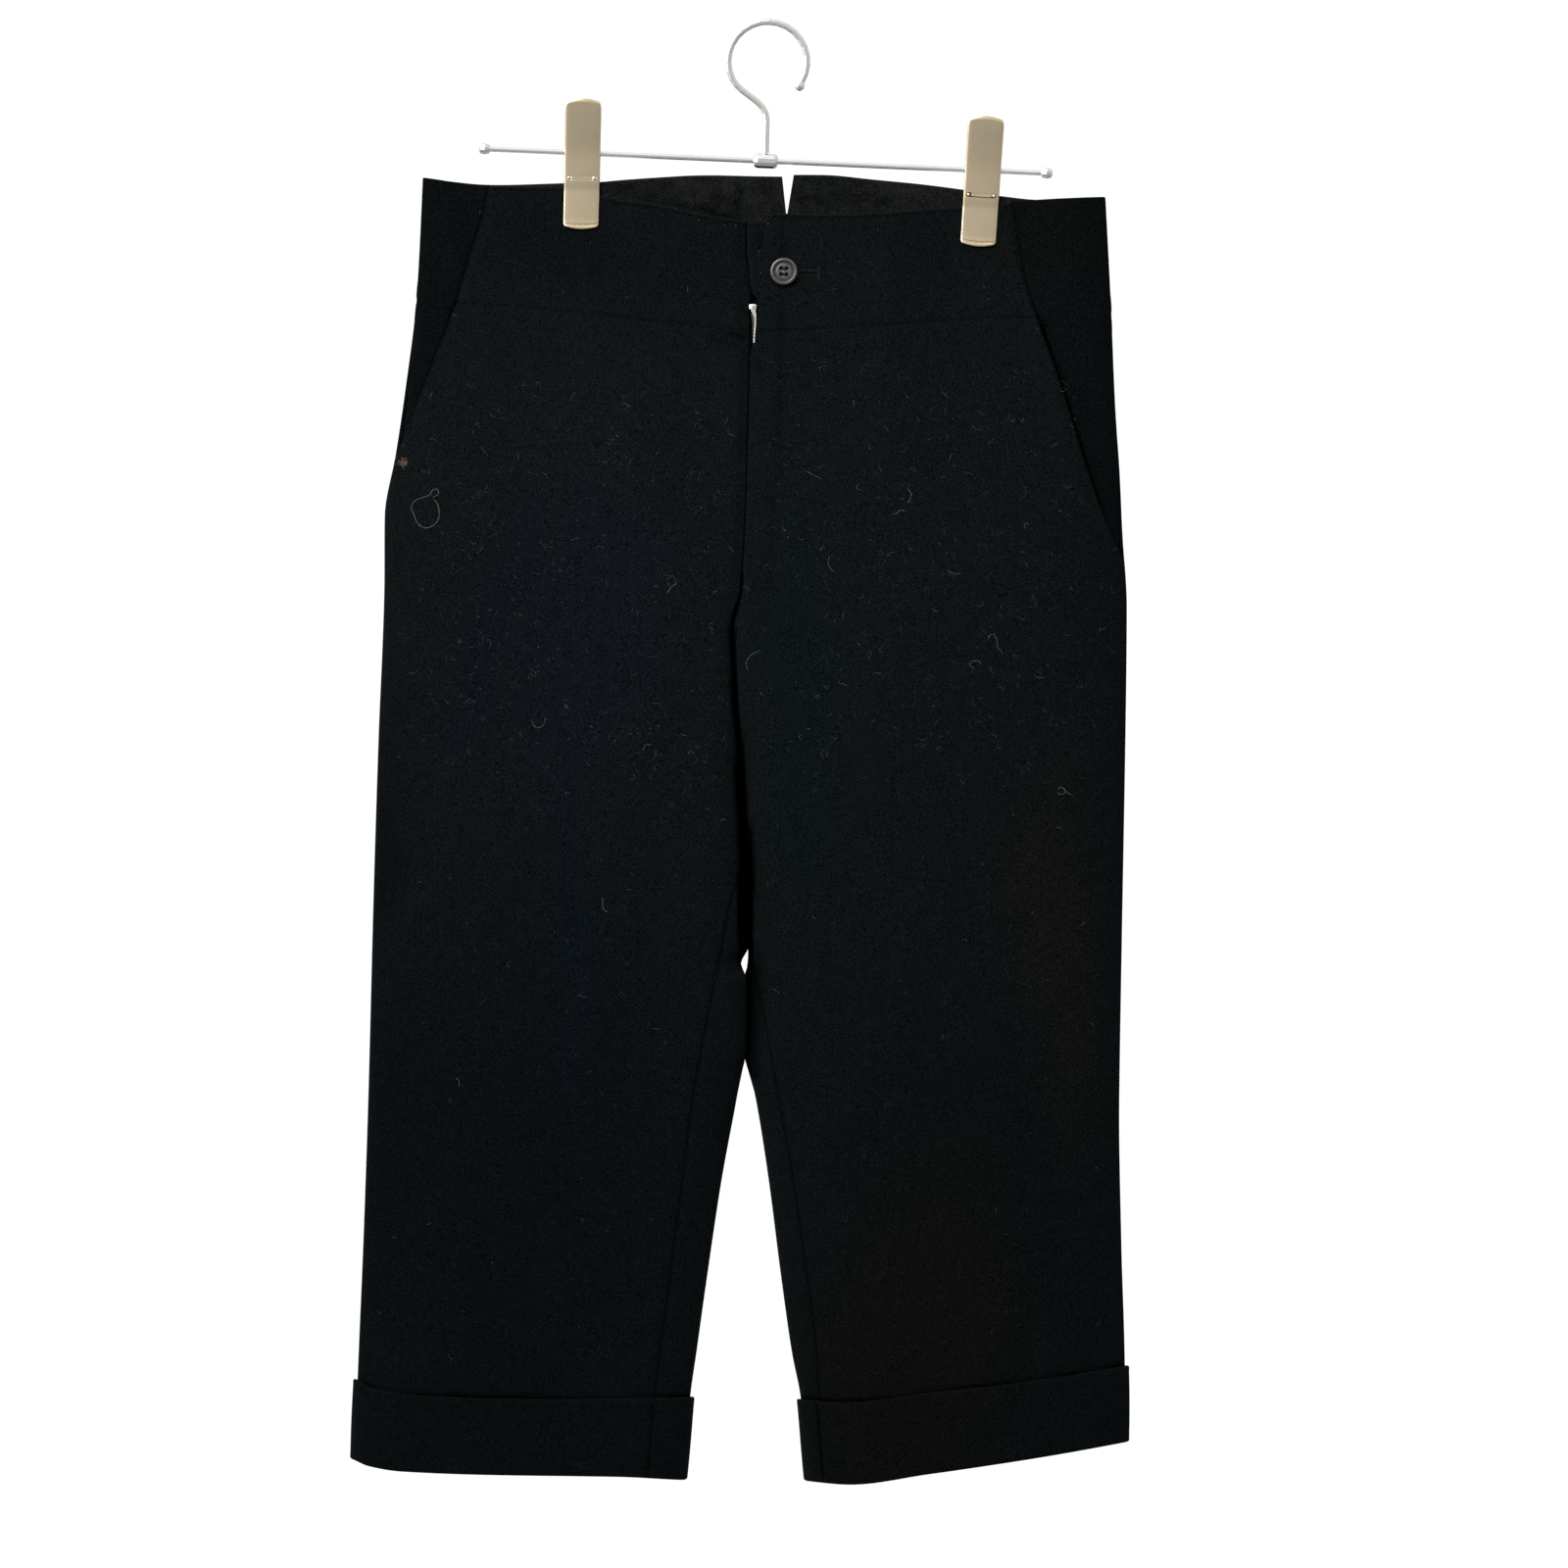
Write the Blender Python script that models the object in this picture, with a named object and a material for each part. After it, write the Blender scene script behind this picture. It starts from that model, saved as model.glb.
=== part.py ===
"""Cropped trousers with turned-up cuffs, hung by the waist from two metal clips on a rod and hook.

The cloth is a set of cut pieces, each a thin wall. All of them lie on one surface, the hung garment's
outer face, which is worked out from a few short tables: the outline seen from the front, the depth of
the flattened tube, the valley between the legs and the seam lines. Left and right are the wearer's, so
the wearer's left is +X. The front faces -Y. The origin is inside the top of the hook.

Tables and sizes are in millimetres; the meshes are in metres.
"""
import math

import bmesh
import bpy
import numpy as np
from mathutils import Matrix, Vector

MM = 0.001
LEFT = 1
RIGHT = -1
SIDE_NAMES = {LEFT: "left", RIGHT: "right"}

# Cloth
PANEL_WALL = 1.6
BAND_WALL = 1.8
SEAM_GAP = 0.3
UNDER_DROP = 2.6
UNDER_FADE = 6.0
SIDE_SEAM_STEP = 0.0025
PINCHED_DEPTH = 2.2

# Heights, measured down from the inside top of the hook
FORK_Z = -468.0
CROTCH_Z = -509.0
FLY_END_Z = -310.0
FLY_CLOSES_OVER = 16.0
BAND_MIDDLE_Z = -130.0
BAND_JUNCTION_Z = -157.0

# The right half runs on under the lap: how far down the waistband, by share of it, and how far across.
UNDERLAP_END = 0.626
UNDERLAP_START = 1.0
UNDERLAP_STEPS = (12.0, 22.0, 31.0)
BAND_ROWS = [0.0, 0.2, 0.42, UNDERLAP_END, 0.67, 0.735, 0.885, 1.0]

# The side piece runs on behind the pocket's mouth.
POCKET_UNDER = 12.0
POCKET_FADE = 22.0
POCKET_END = {RIGHT: -243.0, LEFT: -292.0}

# Turned-up cuffs
CUFF_GAP = 0.4
CUFF_WALL = 2.0
CUFF_ROLL = 1.8

# Hanger
ROD_RADIUS = 1.5
ROD_Z = -74.9
ROD_SLOPE = -0.0225
ROD_HALF = 155.0
BOSS_RADIUS = 4.2
CLIP_X = {RIGHT: -101.0, LEFT: 119.8}
CLIP_TILT = {RIGHT: 0.0, LEFT: 2.7}
LEAF_WALL = 1.0
HOOK_WIRE = 1.75
HOOK_RADIUS = 21.75
HOOK_START = 208.0
HOOK_TURN = 238.0
NECK_HEIGHT = 6.0
NECK_TOP_Z = -52.0

# Fastenings
BUTTON_X = 11.4
BUTTON_Z = -136.1
SLIDER_X = -5.0
HINGE_Z = -155.5
HINGE_OUT = 1.0
PULL_LENGTH = 20.3
TAPE_HALF = 12.0
TAPE_DEPTHS = (5.0, 5.8)
CHAIN_HALF = 2.5
CHAIN_DEPTH = 2.4


class Table:
    """Rows of sizes with named columns, read smoothly between the rows by the first column."""

    def __init__(self, names, *rows):
        columns = list(zip(*sorted(rows)))
        self.key = np.array(columns[0], float)
        self.values = {}
        for name, column in zip(names.split()[1:], columns[1:]):
            column = np.array(column, float)
            self.values[name] = (column, self.slopes(column))

    def slopes(self, column):
        """Slopes at the rows that never overshoot them."""
        step = np.diff(self.key)
        rise = np.diff(column) / step
        slope = np.zeros(len(column))
        for i in range(1, len(column) - 1):
            if rise[i - 1] * rise[i] > 0.0:
                before = 2.0 * step[i] + step[i - 1]
                after = step[i] + 2.0 * step[i - 1]
                slope[i] = (before + after) / (before / rise[i - 1] + after / rise[i])
        slope[0] = rise[0]
        slope[-1] = rise[-1]
        return slope

    def __call__(self, name, at):
        at = min(max(at, self.key[0]), self.key[-1])
        i = min(int(np.searchsorted(self.key, at, side="right")) - 1, len(self.key) - 2)
        step = self.key[i + 1] - self.key[i]
        t = (at - self.key[i]) / step
        column, slope = self.values[name]
        start = column[i] * (1 + 2 * t) * (1 - t) ** 2 + slope[i] * step * t * (1 - t) ** 2
        end = column[i + 1] * t * t * (3 - 2 * t) - slope[i + 1] * step * t * t * (1 - t)
        return float(start + end)


# The outline from the front: the side folds, and below the crotch the legs' inner edges.
OUTLINE = Table(
    "z right left",
    (-85, 188.8, 187.4), (-150, 190.7, 192.1), (-206, 196.2, 195.6), (-242, 200.8, 198.8),
    (-275, 205.9, 201.0), (-317, 205.3, 204.3), (-400, 206.8, 205.1), (-500, 207.8, 205.4),
    (-585, 208.2, 205.8), (-666, 209.2, 208.6), (-733, 210.6, 211.9), (-805, 212.0, 213.5))
INNER = Table(
    "z right left",
    (-509, -1.6, -1.2), (-516, -3.6, -0.9), (-526, -0.7, -0.2), (-568, -0.9, -0.2),
    (-591, -5.0, 5.2), (-635, -12.2, 13.2), (-689, -19.2, 21.3), (-731, -24.2, 28.2),
    (-756, -27.2, 33.6), (-805, -30.5, 39.0))

# The centre seams: the front one is the fly's lap edge and then the crotch seam.
CENTRE = Table(
    "z front back",
    (-80, -9.5, 12.4), (-124, -9.4, 12.0), (-143, -7.9, 11.6), (-175, -6.2, 11.0), (-240, -6.4, 9.4),
    (-310, -8.2, 7.2), (-320, -10.3, 6.8), (-332, -12.8, 6.3), (-364, -10.8, 5.0), (-397, -7.5, 3.6),
    (-456, -3.0, 1.0), (-509, -1.4, -1.4))

# Depth of the flattened tube from its middle plane, near the centre and near the side fold, with the
# run over which the side fold closes and how firmly the clips' pinch still holds.
DEPTH = Table(
    "z front_mid front_side back_mid back_side run pinch",
    (-80, 11.5, 7.0, 8.5, 6.5, 14, 1.0), (-124, 14.0, 8.0, 10.0, 7.5, 18, 1.0),
    (-150, 15.2, 9.4, 12.0, 8.6, 24, 0.72), (-180, 15.6, 12.0, 14.0, 11.0, 34, 0.42),
    (-230, 18.5, 15.0, 17.5, 14.0, 50, 0.16), (-300, 21.0, 18.0, 20.0, 17.0, 68, 0.0),
    (-420, 22.0, 19.5, 22.0, 18.5, 78, 0.0), (-509, 20.0, 19.0, 21.0, 18.5, 78, 0.0),
    (-620, 17.5, 17.0, 18.0, 17.0, 66, 0.0), (-740, 15.0, 15.0, 15.0, 15.0, 54, 0.0),
    (-805, 14.0, 14.5, 14.0, 14.5, 50, 0.0))

# The valleys where the centre seams draw in between the legs: share of the depth, and half width.
VALLEY = Table(
    "z front front_run back back_run",
    (-320, 0.0, 9, 0.0, 20), (-334, 0.30, 9, 0.0, 20), (-364, 0.42, 12, 0.0, 20),
    (-400, 0.55, 16, 0.08, 20), (-440, 0.66, 21, 0.30, 24), (-470, 0.76, 26, 0.52, 30),
    (-497, 0.89, 33, 0.82, 36), (-509, 1.0, 38, 1.0, 40), (-600, 1.0, 56, 1.0, 56), (-805, 1.0, 50, 1.0, 50))

# Where the inside-leg seam shows on the front of each leg: its distance from the centre plane.
INSEAM = Table(
    "z right left",
    (-468, 3.2, -1.8), (-482, 9.6, 0.9), (-500, 13.6, 3.4), (-532, 19.8, 7.2), (-560, 24.4, 12.2),
    (-585, 28.0, 17.0), (-639, 34.0, 27.6), (-690, 39.4, 36.0), (-732, 44.2, 42.2), (-805, 52.2, 47.4))

# The slanted line: a seam beside the waistband, then the pocket's mouth down to the side fold.
SLANT = Table(
    "z right left",
    (-88, 150.8, 135.3), (-109, 155.5, 138.9), (-133, 162.7, 143.1), (-157, 168.8, 150.6),
    (-183, 178.8, 160.7), (-209, 188.0, 169.9), (-234, 197.2, 178.3), (-243, 200.9, 181.5),
    (-260, 204.0, 187.9), (-292, 206.0, 202.3))

# Edges that run across the front and the back, by distance from the centre plane.
WAIST_TOP = {
    RIGHT: Table("x front back", (-30, -108.4, -84.0), (9.7, -108.4, -84.4), (33.6, -104.6, -84.1),
                 (43.4, -101.6, -84.8), (60.7, -99.2, -86.0), (79.6, -98.0, -87.6), (92, -95.4, -88.7),
                 (111, -91.6, -89.4), (151.6, -92.0, -91.0), (189, -88.0, -88.0)),
    LEFT: Table("x front back", (-9.6, -108.4, -83.6), (-6.0, -105.4, -83.5), (1, -103.9, -83.2),
                (32.9, -104.0, -82.3), (58.7, -102.7, -84.1), (80.3, -100.6, -85.5), (107.8, -97.9, -88.2),
                (131.5, -95.2, -91.6), (149.8, -93.2, -93.0), (187, -90.8, -90.8)),
}
BAND_SEAM = Table("x front back", (0, -169.3, -146.0), (40, -166.4, -147.0), (80, -162.9, -149.5),
                  (110, -160.2, -152.0), (150, -157.6, -154.5), (190, -156.0, -156.0))
NOTCH_HALF = 3.2
NOTCH_TOP_Z = -83.0
NOTCH_POINT_Z = -105.3

# The fly: how far the lap's edge opens round the slider, where the edge under it lies, and the zip.
FLY = Table(
    "z lap_open under zip",
    (-100, 0, 1.0, -5.0), (-144, 0, 1.0, -5.0), (-148, 3.4, -1.1, -5.0), (-151.5, 5.8, -1.3, -5.0),
    (-162, 5.4, -1.3, -4.9), (-168, 2.2, -0.8, -4.4), (-176, 0, 0.3, -3.3), (-188, 0, 1.0, -2.1),
    (-240, 0, 1.0, -2.4), (-300, 0, 1.0, -4.0), (-311, 0, 0.0, -4.4), (-330, 0, 0.0, -4.4))

# Cuff and hem lines of each leg, by share of the leg's width from its inner edge.
HEM = {
    RIGHT: Table("share cuff hem", (0, -756.5, -802.4), (0.2, -757.8, -801.0), (0.6, -759.2, -801.4),
                 (0.85, -758.0, -800.6), (0.95, -755.0, -798.3), (1, -750.5, -794.8)),
    LEFT: Table("share cuff hem", (0, -756.5, -799.6), (0.12, -757.4, -802.0), (0.38, -751.6, -796.0),
                (0.7, -743.8, -786.5), (1, -734.2, -776.4)),
}
HEM_MIDDLE_Z = -795.0

# How far down the rows still bend with the band seam, and from how far up with the hem.
TOP_BEND = 70.0
HEM_BEND = 105.0

# The largest soft folds: ends on the front view, half width and height. A trough has a height below 0.
FOLDS = [
    # side, front, x and z at the top, x and z at the bottom, half width, height
    (RIGHT, True, -96, -140, -66, -255, 20, 1.8),
    (RIGHT, True, -112, -142, -150, -250, 22, -1.5),
    (RIGHT, True, -60, -330, -84, -560, 30, 2.0),
    (RIGHT, True, -30, -520, -70, -640, 18, -1.4),
    (RIGHT, True, -118, -560, -122, -745, 34, 1.6),
    (LEFT, True, 114, -150, 78, -262, 22, 1.7),
    (LEFT, True, 128, -150, 158, -255, 18, -1.6),
    (LEFT, True, 66, -330, 96, -590, 32, 1.9),
    (LEFT, True, 26, -530, 62, -650, 18, -1.5),
    (LEFT, True, 140, -540, 132, -735, 34, 1.5),
    (RIGHT, False, -98, -140, -60, -300, 24, 1.8),
    (RIGHT, False, -20, -400, -84, -480, 20, -1.6),
    (RIGHT, False, -100, -520, -118, -740, 34, 1.8),
    (LEFT, False, 116, -140, 82, -290, 24, 1.6),
    (LEFT, False, 24, -410, 92, -500, 20, -1.5),
    (LEFT, False, 110, -520, 124, -735, 34, 1.7),
]

# Rows of the leg pieces between the curved top and the curved hem, and columns between their edges.
LEG_ROWS = [-166, -180, -200, -222, -233, -243, -262, -279, -292, -310, -321, -334, -349, -374, -400,
            -430, -452, FORK_Z, -482, -496, CROTCH_Z, -516, -526, -546, -568, -592, -624, -660, -696, -730,
            -757, -778]
COLUMNS = [0.0, 0.045, 0.10, 0.18, 0.28, 0.39, 0.50, 0.61, 0.72, 0.82, 0.90, 0.96, 1.0]
GRIP_COLUMNS = (6, 7)
GRIP_HALF = 12.6

MATERIALS = {
    "wool": ((0.012, 0.014, 0.016), 0.85, 0.0),
    "tape": ((0.015, 0.015, 0.017), 0.9, 0.0),
    "horn": ((0.02, 0.018, 0.017), 0.25, 0.0),
    "nickel": ((0.62, 0.57, 0.48), 0.32, 1.0),
    "chrome": ((0.72, 0.72, 0.72), 0.2, 1.0),
}


def smooth_step(t):
    t = min(max(t, 0.0), 1.0)
    return t * t * (3.0 - 2.0 * t)


def quarter_round(t):
    """Height of a quarter ellipse at a share of its run."""
    if t >= 1.0:
        return 1.0
    return math.sqrt(max(0.0, 1.0 - (1.0 - t) ** 2))


def inner_x(side, front, z):
    """The edge of a half that meets the other half, or the leg's inner edge below the crotch."""
    if z < CROTCH_Z:
        return INNER(SIDE_NAMES[side], z)
    centre = CENTRE("front" if front else "back", z)
    return centre + side * SEAM_GAP / 2


def outer_x(side, z):
    return side * OUTLINE(SIDE_NAMES[side], z)


def fold_height(side, front, x, z):
    """Height of the soft folds at a place on the front view."""
    total = 0.0
    for of_side, of_front, x0, z0, x1, z1, half, height in FOLDS:
        if of_side != side or of_front != front:
            continue
        along = Vector((x1 - x0, z1 - z0))
        place = Vector((x - x0, z - z0))
        share = place.dot(along) / along.length_squared
        across = (place - along * share).length
        ends = smooth_step((share + 0.25) / 0.4) * smooth_step((1.25 - share) / 0.4)
        total += height * ends * math.exp(-(across / half) ** 2)
    return total


def cloth_depth(side, front, x, z):
    """Distance of the cloth's outer face from the middle plane."""
    face = "front" if front else "back"
    edge = inner_x(side, front, z)
    width = abs(outer_x(side, z) - edge)
    from_inner = min(max(side * (x - edge), 0.0), width)
    share = from_inner / width
    side_depth = DEPTH(face + "_side", z)
    bow = math.cos(share * math.pi / 2) ** 2
    depth = side_depth + (DEPTH(face + "_mid", z) - side_depth) * bow
    from_clip = abs(x - CLIP_X[side])
    pinch = DEPTH("pinch", z) * smooth_step((56.0 - from_clip) / 43.0)
    depth += fold_height(side, front, x, z) * (1.0 - pinch)
    depth = depth * (1.0 - pinch) + PINCHED_DEPTH * pinch
    draw = VALLEY(face, z) * (1.0 - quarter_round(from_inner / VALLEY(face + "_run", z)))
    return depth * quarter_round((width - from_inner) / DEPTH("run", z)) * (1.0 - draw)


def cloth_point(side, around, z):
    """Outer face. around is 0 at the front's inner edge, 1 at the side fold, 2 at the back's inner edge."""
    if z <= CROTCH_Z:
        around %= 2.0
    around = min(max(around, 0.0), 2.0)
    front = around <= 1.0
    edge = inner_x(side, front, z)
    share = math.sin(math.pi * around / 2) ** 2
    x = edge + (outer_x(side, z) - edge) * share
    depth = cloth_depth(side, front, x, z)
    return Vector((x, -depth if front else depth, z))


def cloth_normal(side, around, z):
    """Unit vector out of the cloth."""
    step = 0.01
    at_centre = z > CROTCH_Z and (around < step or around > 2.0 - step)
    if at_centre:
        step = 0.035
    low, high = around - step, around + step
    if z > CROTCH_Z:
        low, high = max(low, 0.0), min(high, 2.0)
    across = cloth_point(side, high, z) - cloth_point(side, low, z)
    down = cloth_point(side, around, z - 1.0) - cloth_point(side, around, z + 1.0)
    if at_centre:
        down = Vector((0.0, down.y, down.z))
    return (down.cross(across) * side).normalized()


def around_at(side, front, x, z):
    """The place around the tube of a point seen at x on the front or the back."""
    edge = inner_x(side, front, z)
    share = (x - edge) / (outer_x(side, z) - edge)
    around = 2 / math.pi * math.asin(math.sqrt(min(max(share, 0.0), 1.0)))
    return around if front else 2.0 - around


def lift(side, around, z, rise=0.0, shift=0.0):
    """A point of the cloth moved out by rise, and sideways by shift beyond the centre, with its normal."""
    normal = cloth_normal(side, around, z)
    place = cloth_point(side, around, z) + Vector((shift, 0.0, 0.0))
    return place + normal * rise, normal


class Sheet:
    """A cloth wall: outer points, inner points one wall behind them, and rims along every free edge."""

    def __init__(self, wall):
        self.wall = wall
        self.places = {}
        self.faces = []

    def point(self, key, place, normal):
        if key not in self.places:
            self.places[key] = (place, place - normal * self.wall)
        return key

    def face(self, *keys):
        corners = []
        for key in keys:
            if key not in corners:
                corners.append(key)
        if len(corners) > 2:
            self.faces.append(corners)

    def grid(self, rows):
        """Faces between rows of keys of equal length."""
        for upper, lower in zip(rows, rows[1:]):
            for i in range(len(upper) - 1):
                self.face(lower[i], lower[i + 1], upper[i + 1], upper[i])

    def build(self, name, material):
        mesh = bmesh.new()
        outer = {key: mesh.verts.new(pair[0] * MM) for key, pair in self.places.items()}
        inner = {key: mesh.verts.new(pair[1] * MM) for key, pair in self.places.items()}
        edge_faces = {}
        for corners in self.faces:
            for second, third in zip(corners[1:], corners[2:]):
                mesh.faces.new([outer[key] for key in (corners[0], second, third)])
                mesh.faces.new([inner[key] for key in (third, second, corners[0])])
            for a, b in zip(corners, corners[1:] + corners[:1]):
                edge_faces.setdefault(frozenset((a, b)), []).append((a, b))
        for uses in edge_faces.values():
            if len(uses) == 1:
                a, b = uses[0]
                mesh.faces.new([outer[b], outer[a], inner[a], inner[b]])
        return finish(mesh, name, material)


def finish(mesh, name, material, smooth_angle=40.0):
    """A closed mesh with outward faces as a named object with its own material."""
    bmesh.ops.recalc_face_normals(mesh, faces=mesh.faces)
    data = bpy.data.meshes.new(name)
    mesh.to_mesh(data)
    mesh.free()
    data.shade_smooth()
    data.set_sharp_from_angle(angle=math.radians(smooth_angle))
    item = bpy.data.objects.new(name, data)
    bpy.context.scene.collection.objects.link(item)
    data.materials.append(make_material(name, material))
    return item


def make_material(name, kind):
    colour, roughness, metallic = MATERIALS[kind]
    material = bpy.data.materials.new(name)
    material.use_nodes = True
    shader = material.node_tree.nodes["Principled BSDF"]
    shader.inputs["Base Color"].default_value = (*colour, 1.0)
    shader.inputs["Roughness"].default_value = roughness
    shader.inputs["Metallic"].default_value = metallic
    return material


def front_seam_z(x):
    return BAND_SEAM("front", abs(x))


def back_seam_z(x):
    return BAND_SEAM("back", abs(x))


def settle(side, around, z_of_x):
    """The height where a point around the tube meets a line given as a height for each x."""
    z = -150.0
    for _ in range(4):
        z = z_of_x(cloth_point(side, around, z).x)
    return z


def hem_z(side, around, line="hem"):
    return HEM[side](line, math.sin(math.pi * around / 2) ** 2)


def leg_row_z(side, around, row, seam_z):
    """Height of a point in a leg row: rows bend to the band seam at the top and the hem at the bottom."""
    last = len(LEG_ROWS)
    if row < 0:
        return settle(side, around, seam_z) - SEAM_GAP / 2
    if row == last:
        return hem_z(side, around) + CUFF_ROLL + SEAM_GAP
    z = LEG_ROWS[row]
    top = settle(side, around, seam_z)
    z += (top - BAND_JUNCTION_Z) * (1.0 - smooth_step((BAND_JUNCTION_Z - z) / TOP_BEND))
    z += (hem_z(side, around) - HEM_MIDDLE_Z) * smooth_step((HEM_MIDDLE_Z + HEM_BEND - z) / HEM_BEND)
    return z


def under_rise(side, x, z):
    """The right half steps back under the fly's lap."""
    if side != RIGHT:
        return 0.0
    from_lap = CENTRE("front", z) - x
    fade = smooth_step((z - FLY_END_Z + 20.0) / FLY_CLOSES_OVER)
    return -UNDER_DROP * fade * (1.0 - smooth_step((from_lap - 1.5) / UNDER_FADE))


def front_inner_limit(side, z):
    """Inner edge of a front piece: its place around the tube and a shift beyond the centre."""
    if z < FORK_Z:
        seam = side * (INSEAM(SIDE_NAMES[side], z) + SEAM_GAP / 2)
        return around_at(side, True, seam, z), 0.0
    if side == LEFT:
        edge = inner_x(side, True, z) + FLY("lap_open", z)
        return around_at(side, True, edge, z), 0.0
    under = FLY("under", z)
    if under >= 0.0:
        return 0.0, under
    return around_at(side, True, inner_x(side, True, z) + under, z), 0.0


def front_outer_limit(side, z):
    """Outer edge of a front piece: the slanted line, then the side fold."""
    if z <= POCKET_END[side]:
        return 1.0 - SIDE_SEAM_STEP
    x = side * (SLANT(SIDE_NAMES[side], z) - SEAM_GAP / 2)
    return min(around_at(side, True, x, z), 1.0 - SIDE_SEAM_STEP)


def front_panel(side):
    sheet = Sheet(PANEL_WALL)
    rows = []
    for row in range(-1, len(LEG_ROWS) + 1):
        nominal = leg_row_z(side, 0.9, row, front_seam_z)
        keys = []
        for i, share in enumerate(COLUMNS):
            z = nominal
            for _ in range(3):
                start, shift = front_inner_limit(side, z)
                end = front_outer_limit(side, z)
                around = start + (end - start) * share
                z = leg_row_z(side, around, row, front_seam_z)
            shift = shift if i == 0 else 0.0
            x = cloth_point(side, around, z).x + shift
            place, normal = lift(side, around, z, under_rise(side, x, z), shift)
            keys.append(sheet.point((row, i), place, normal))
        rows.append(keys)
    sheet.grid(rows)
    return sheet.build("front_panel_" + SIDE_NAMES[side], "wool")


def back_panel(side):
    sheet = Sheet(PANEL_WALL)
    crotch_row = LEG_ROWS.index(CROTCH_Z)
    fork_row = LEG_ROWS.index(FORK_Z)
    main = []
    strip = []
    strip_shares = [0.0, 0.34, 0.68, 1.0]
    for row in range(-1, len(LEG_ROWS) + 1):
        keys = []
        for i, from_inner in enumerate(reversed(COLUMNS)):
            around = 2.0 - (1.0 - SIDE_SEAM_STEP) * from_inner
            z = leg_row_z(side, around, row, back_seam_z)
            place, normal = lift(side, around, z)
            closed = i == len(COLUMNS) - 1 and row >= crotch_row
            keys.append(sheet.point(("ring", row) if closed else (row, i), place, normal))
        main.append(keys)
        if row <= fork_row:
            continue
        keys = []
        for i, share in enumerate(strip_shares):
            z = leg_row_z(side, 0.0, row, back_seam_z)
            for _ in range(3):
                seam = side * (INSEAM(SIDE_NAMES[side], z) - SEAM_GAP / 2)
                around = around_at(side, True, seam, z) * share
                z = leg_row_z(side, around, row, back_seam_z)
            place, normal = lift(side, around, z)
            closed = i == 0 and row >= crotch_row
            keys.append(sheet.point(("ring", row) if closed else ("strip", row, i), place, normal))
        strip.append(keys)
    tip_z = FORK_Z - 2.0
    place, normal = lift(side, 0.0, tip_z)
    tip = sheet.point("tip", place, normal)
    strip.insert(0, [tip] * len(strip_shares))
    sheet.grid(main)
    sheet.grid(strip)
    return sheet.build("back_panel_" + SIDE_NAMES[side], "wool")


def band_around(side, front, start, end, column, z):
    """Columns of a waistband: two of them stand at the edges of the clip's flat grip."""
    near, far = (around_at(side, front, CLIP_X[side] + side * reach, z) for reach in (-GRIP_HALF, GRIP_HALF))
    near_column, far_column = GRIP_COLUMNS
    if column <= near_column:
        return start + (near - start) * COLUMNS[column] / COLUMNS[near_column]
    share = (COLUMNS[column] - COLUMNS[far_column]) / (1.0 - COLUMNS[far_column])
    return far + (end - far) * share


def front_band(side):
    """Deep waistband front. The right one runs on under the fly's lap and carries the button."""
    sheet = Sheet(BAND_WALL)
    top = WAIST_TOP[side]
    rows = []
    under_rows = []
    for row, down in enumerate(BAND_ROWS):
        def height(x, down=down):
            upper = top("front", side * x if side == RIGHT else x)
            return upper + (front_seam_z(x) + SEAM_GAP / 2 - upper) * down
        keys = []
        for i in range(len(COLUMNS)):
            z = BAND_MIDDLE_Z
            for _ in range(4):
                start, shift = front_inner_limit(side, z)
                if side == RIGHT and down <= UNDERLAP_END:
                    start, shift = 0.0, UNDERLAP_START
                end = front_outer_limit(side, z)
                around = band_around(side, True, start, end, i, z)
                z = height(cloth_point(side, around, z).x)
            shift = shift if i == 0 else 0.0
            x = cloth_point(side, around, z).x + shift
            place, normal = lift(side, around, z, under_rise(side, x, z), shift)
            keys.append(sheet.point((row, i), place, normal))
        rows.append(keys)
        if side == RIGHT and down <= UNDERLAP_END:
            under = [keys[0]]
            z = settle(side, 0.0, height)
            for i, reach in enumerate(UNDERLAP_STEPS):
                place, normal = lift(side, 0.0, z, -UNDER_DROP, reach)
                under.append(sheet.point(("under", row, i), place, normal))
            under_rows.append(under)
    sheet.grid(rows)
    sheet.grid(under_rows)
    return sheet.build("front_band_" + SIDE_NAMES[side], "wool")


def back_band(side):
    """Deep waistband back, cut away in a V at the centre back."""
    sheet = Sheet(BAND_WALL)
    top = WAIST_TOP[side]
    notch_share = (NOTCH_TOP_Z - NOTCH_POINT_Z) / (NOTCH_TOP_Z - back_seam_z(0.0))
    shares = [0.0, notch_share * 0.5, notch_share, 0.62, 1.0]
    rows = []
    for row, down in enumerate(shares):
        def height(x, down=down):
            upper = top("back", abs(x) if side == RIGHT else x)
            return upper + (back_seam_z(x) + SEAM_GAP / 2 - upper) * down
        keys = []
        for i in range(len(COLUMNS)):
            z = BAND_MIDDLE_Z
            for _ in range(4):
                cut = NOTCH_HALF * notch_width(z)
                end = around_at(side, False, inner_x(side, False, z) + side * cut, z)
                start = 1.0 + SIDE_SEAM_STEP
                around = band_around(side, False, end, start, i, z)
                z = height(cloth_point(side, around, z).x)
            place, normal = lift(side, around, z)
            keys.append(sheet.point((row, i), place, normal))
        rows.append(keys)
    sheet.grid(rows)
    return sheet.build("back_band_" + SIDE_NAMES[side], "wool")


def notch_width(z):
    """Share of the V notch's half width left at a height."""
    return min(max((z - NOTCH_POINT_Z) / (NOTCH_TOP_Z - NOTCH_POINT_Z), 0.0), 1.0)


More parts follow.
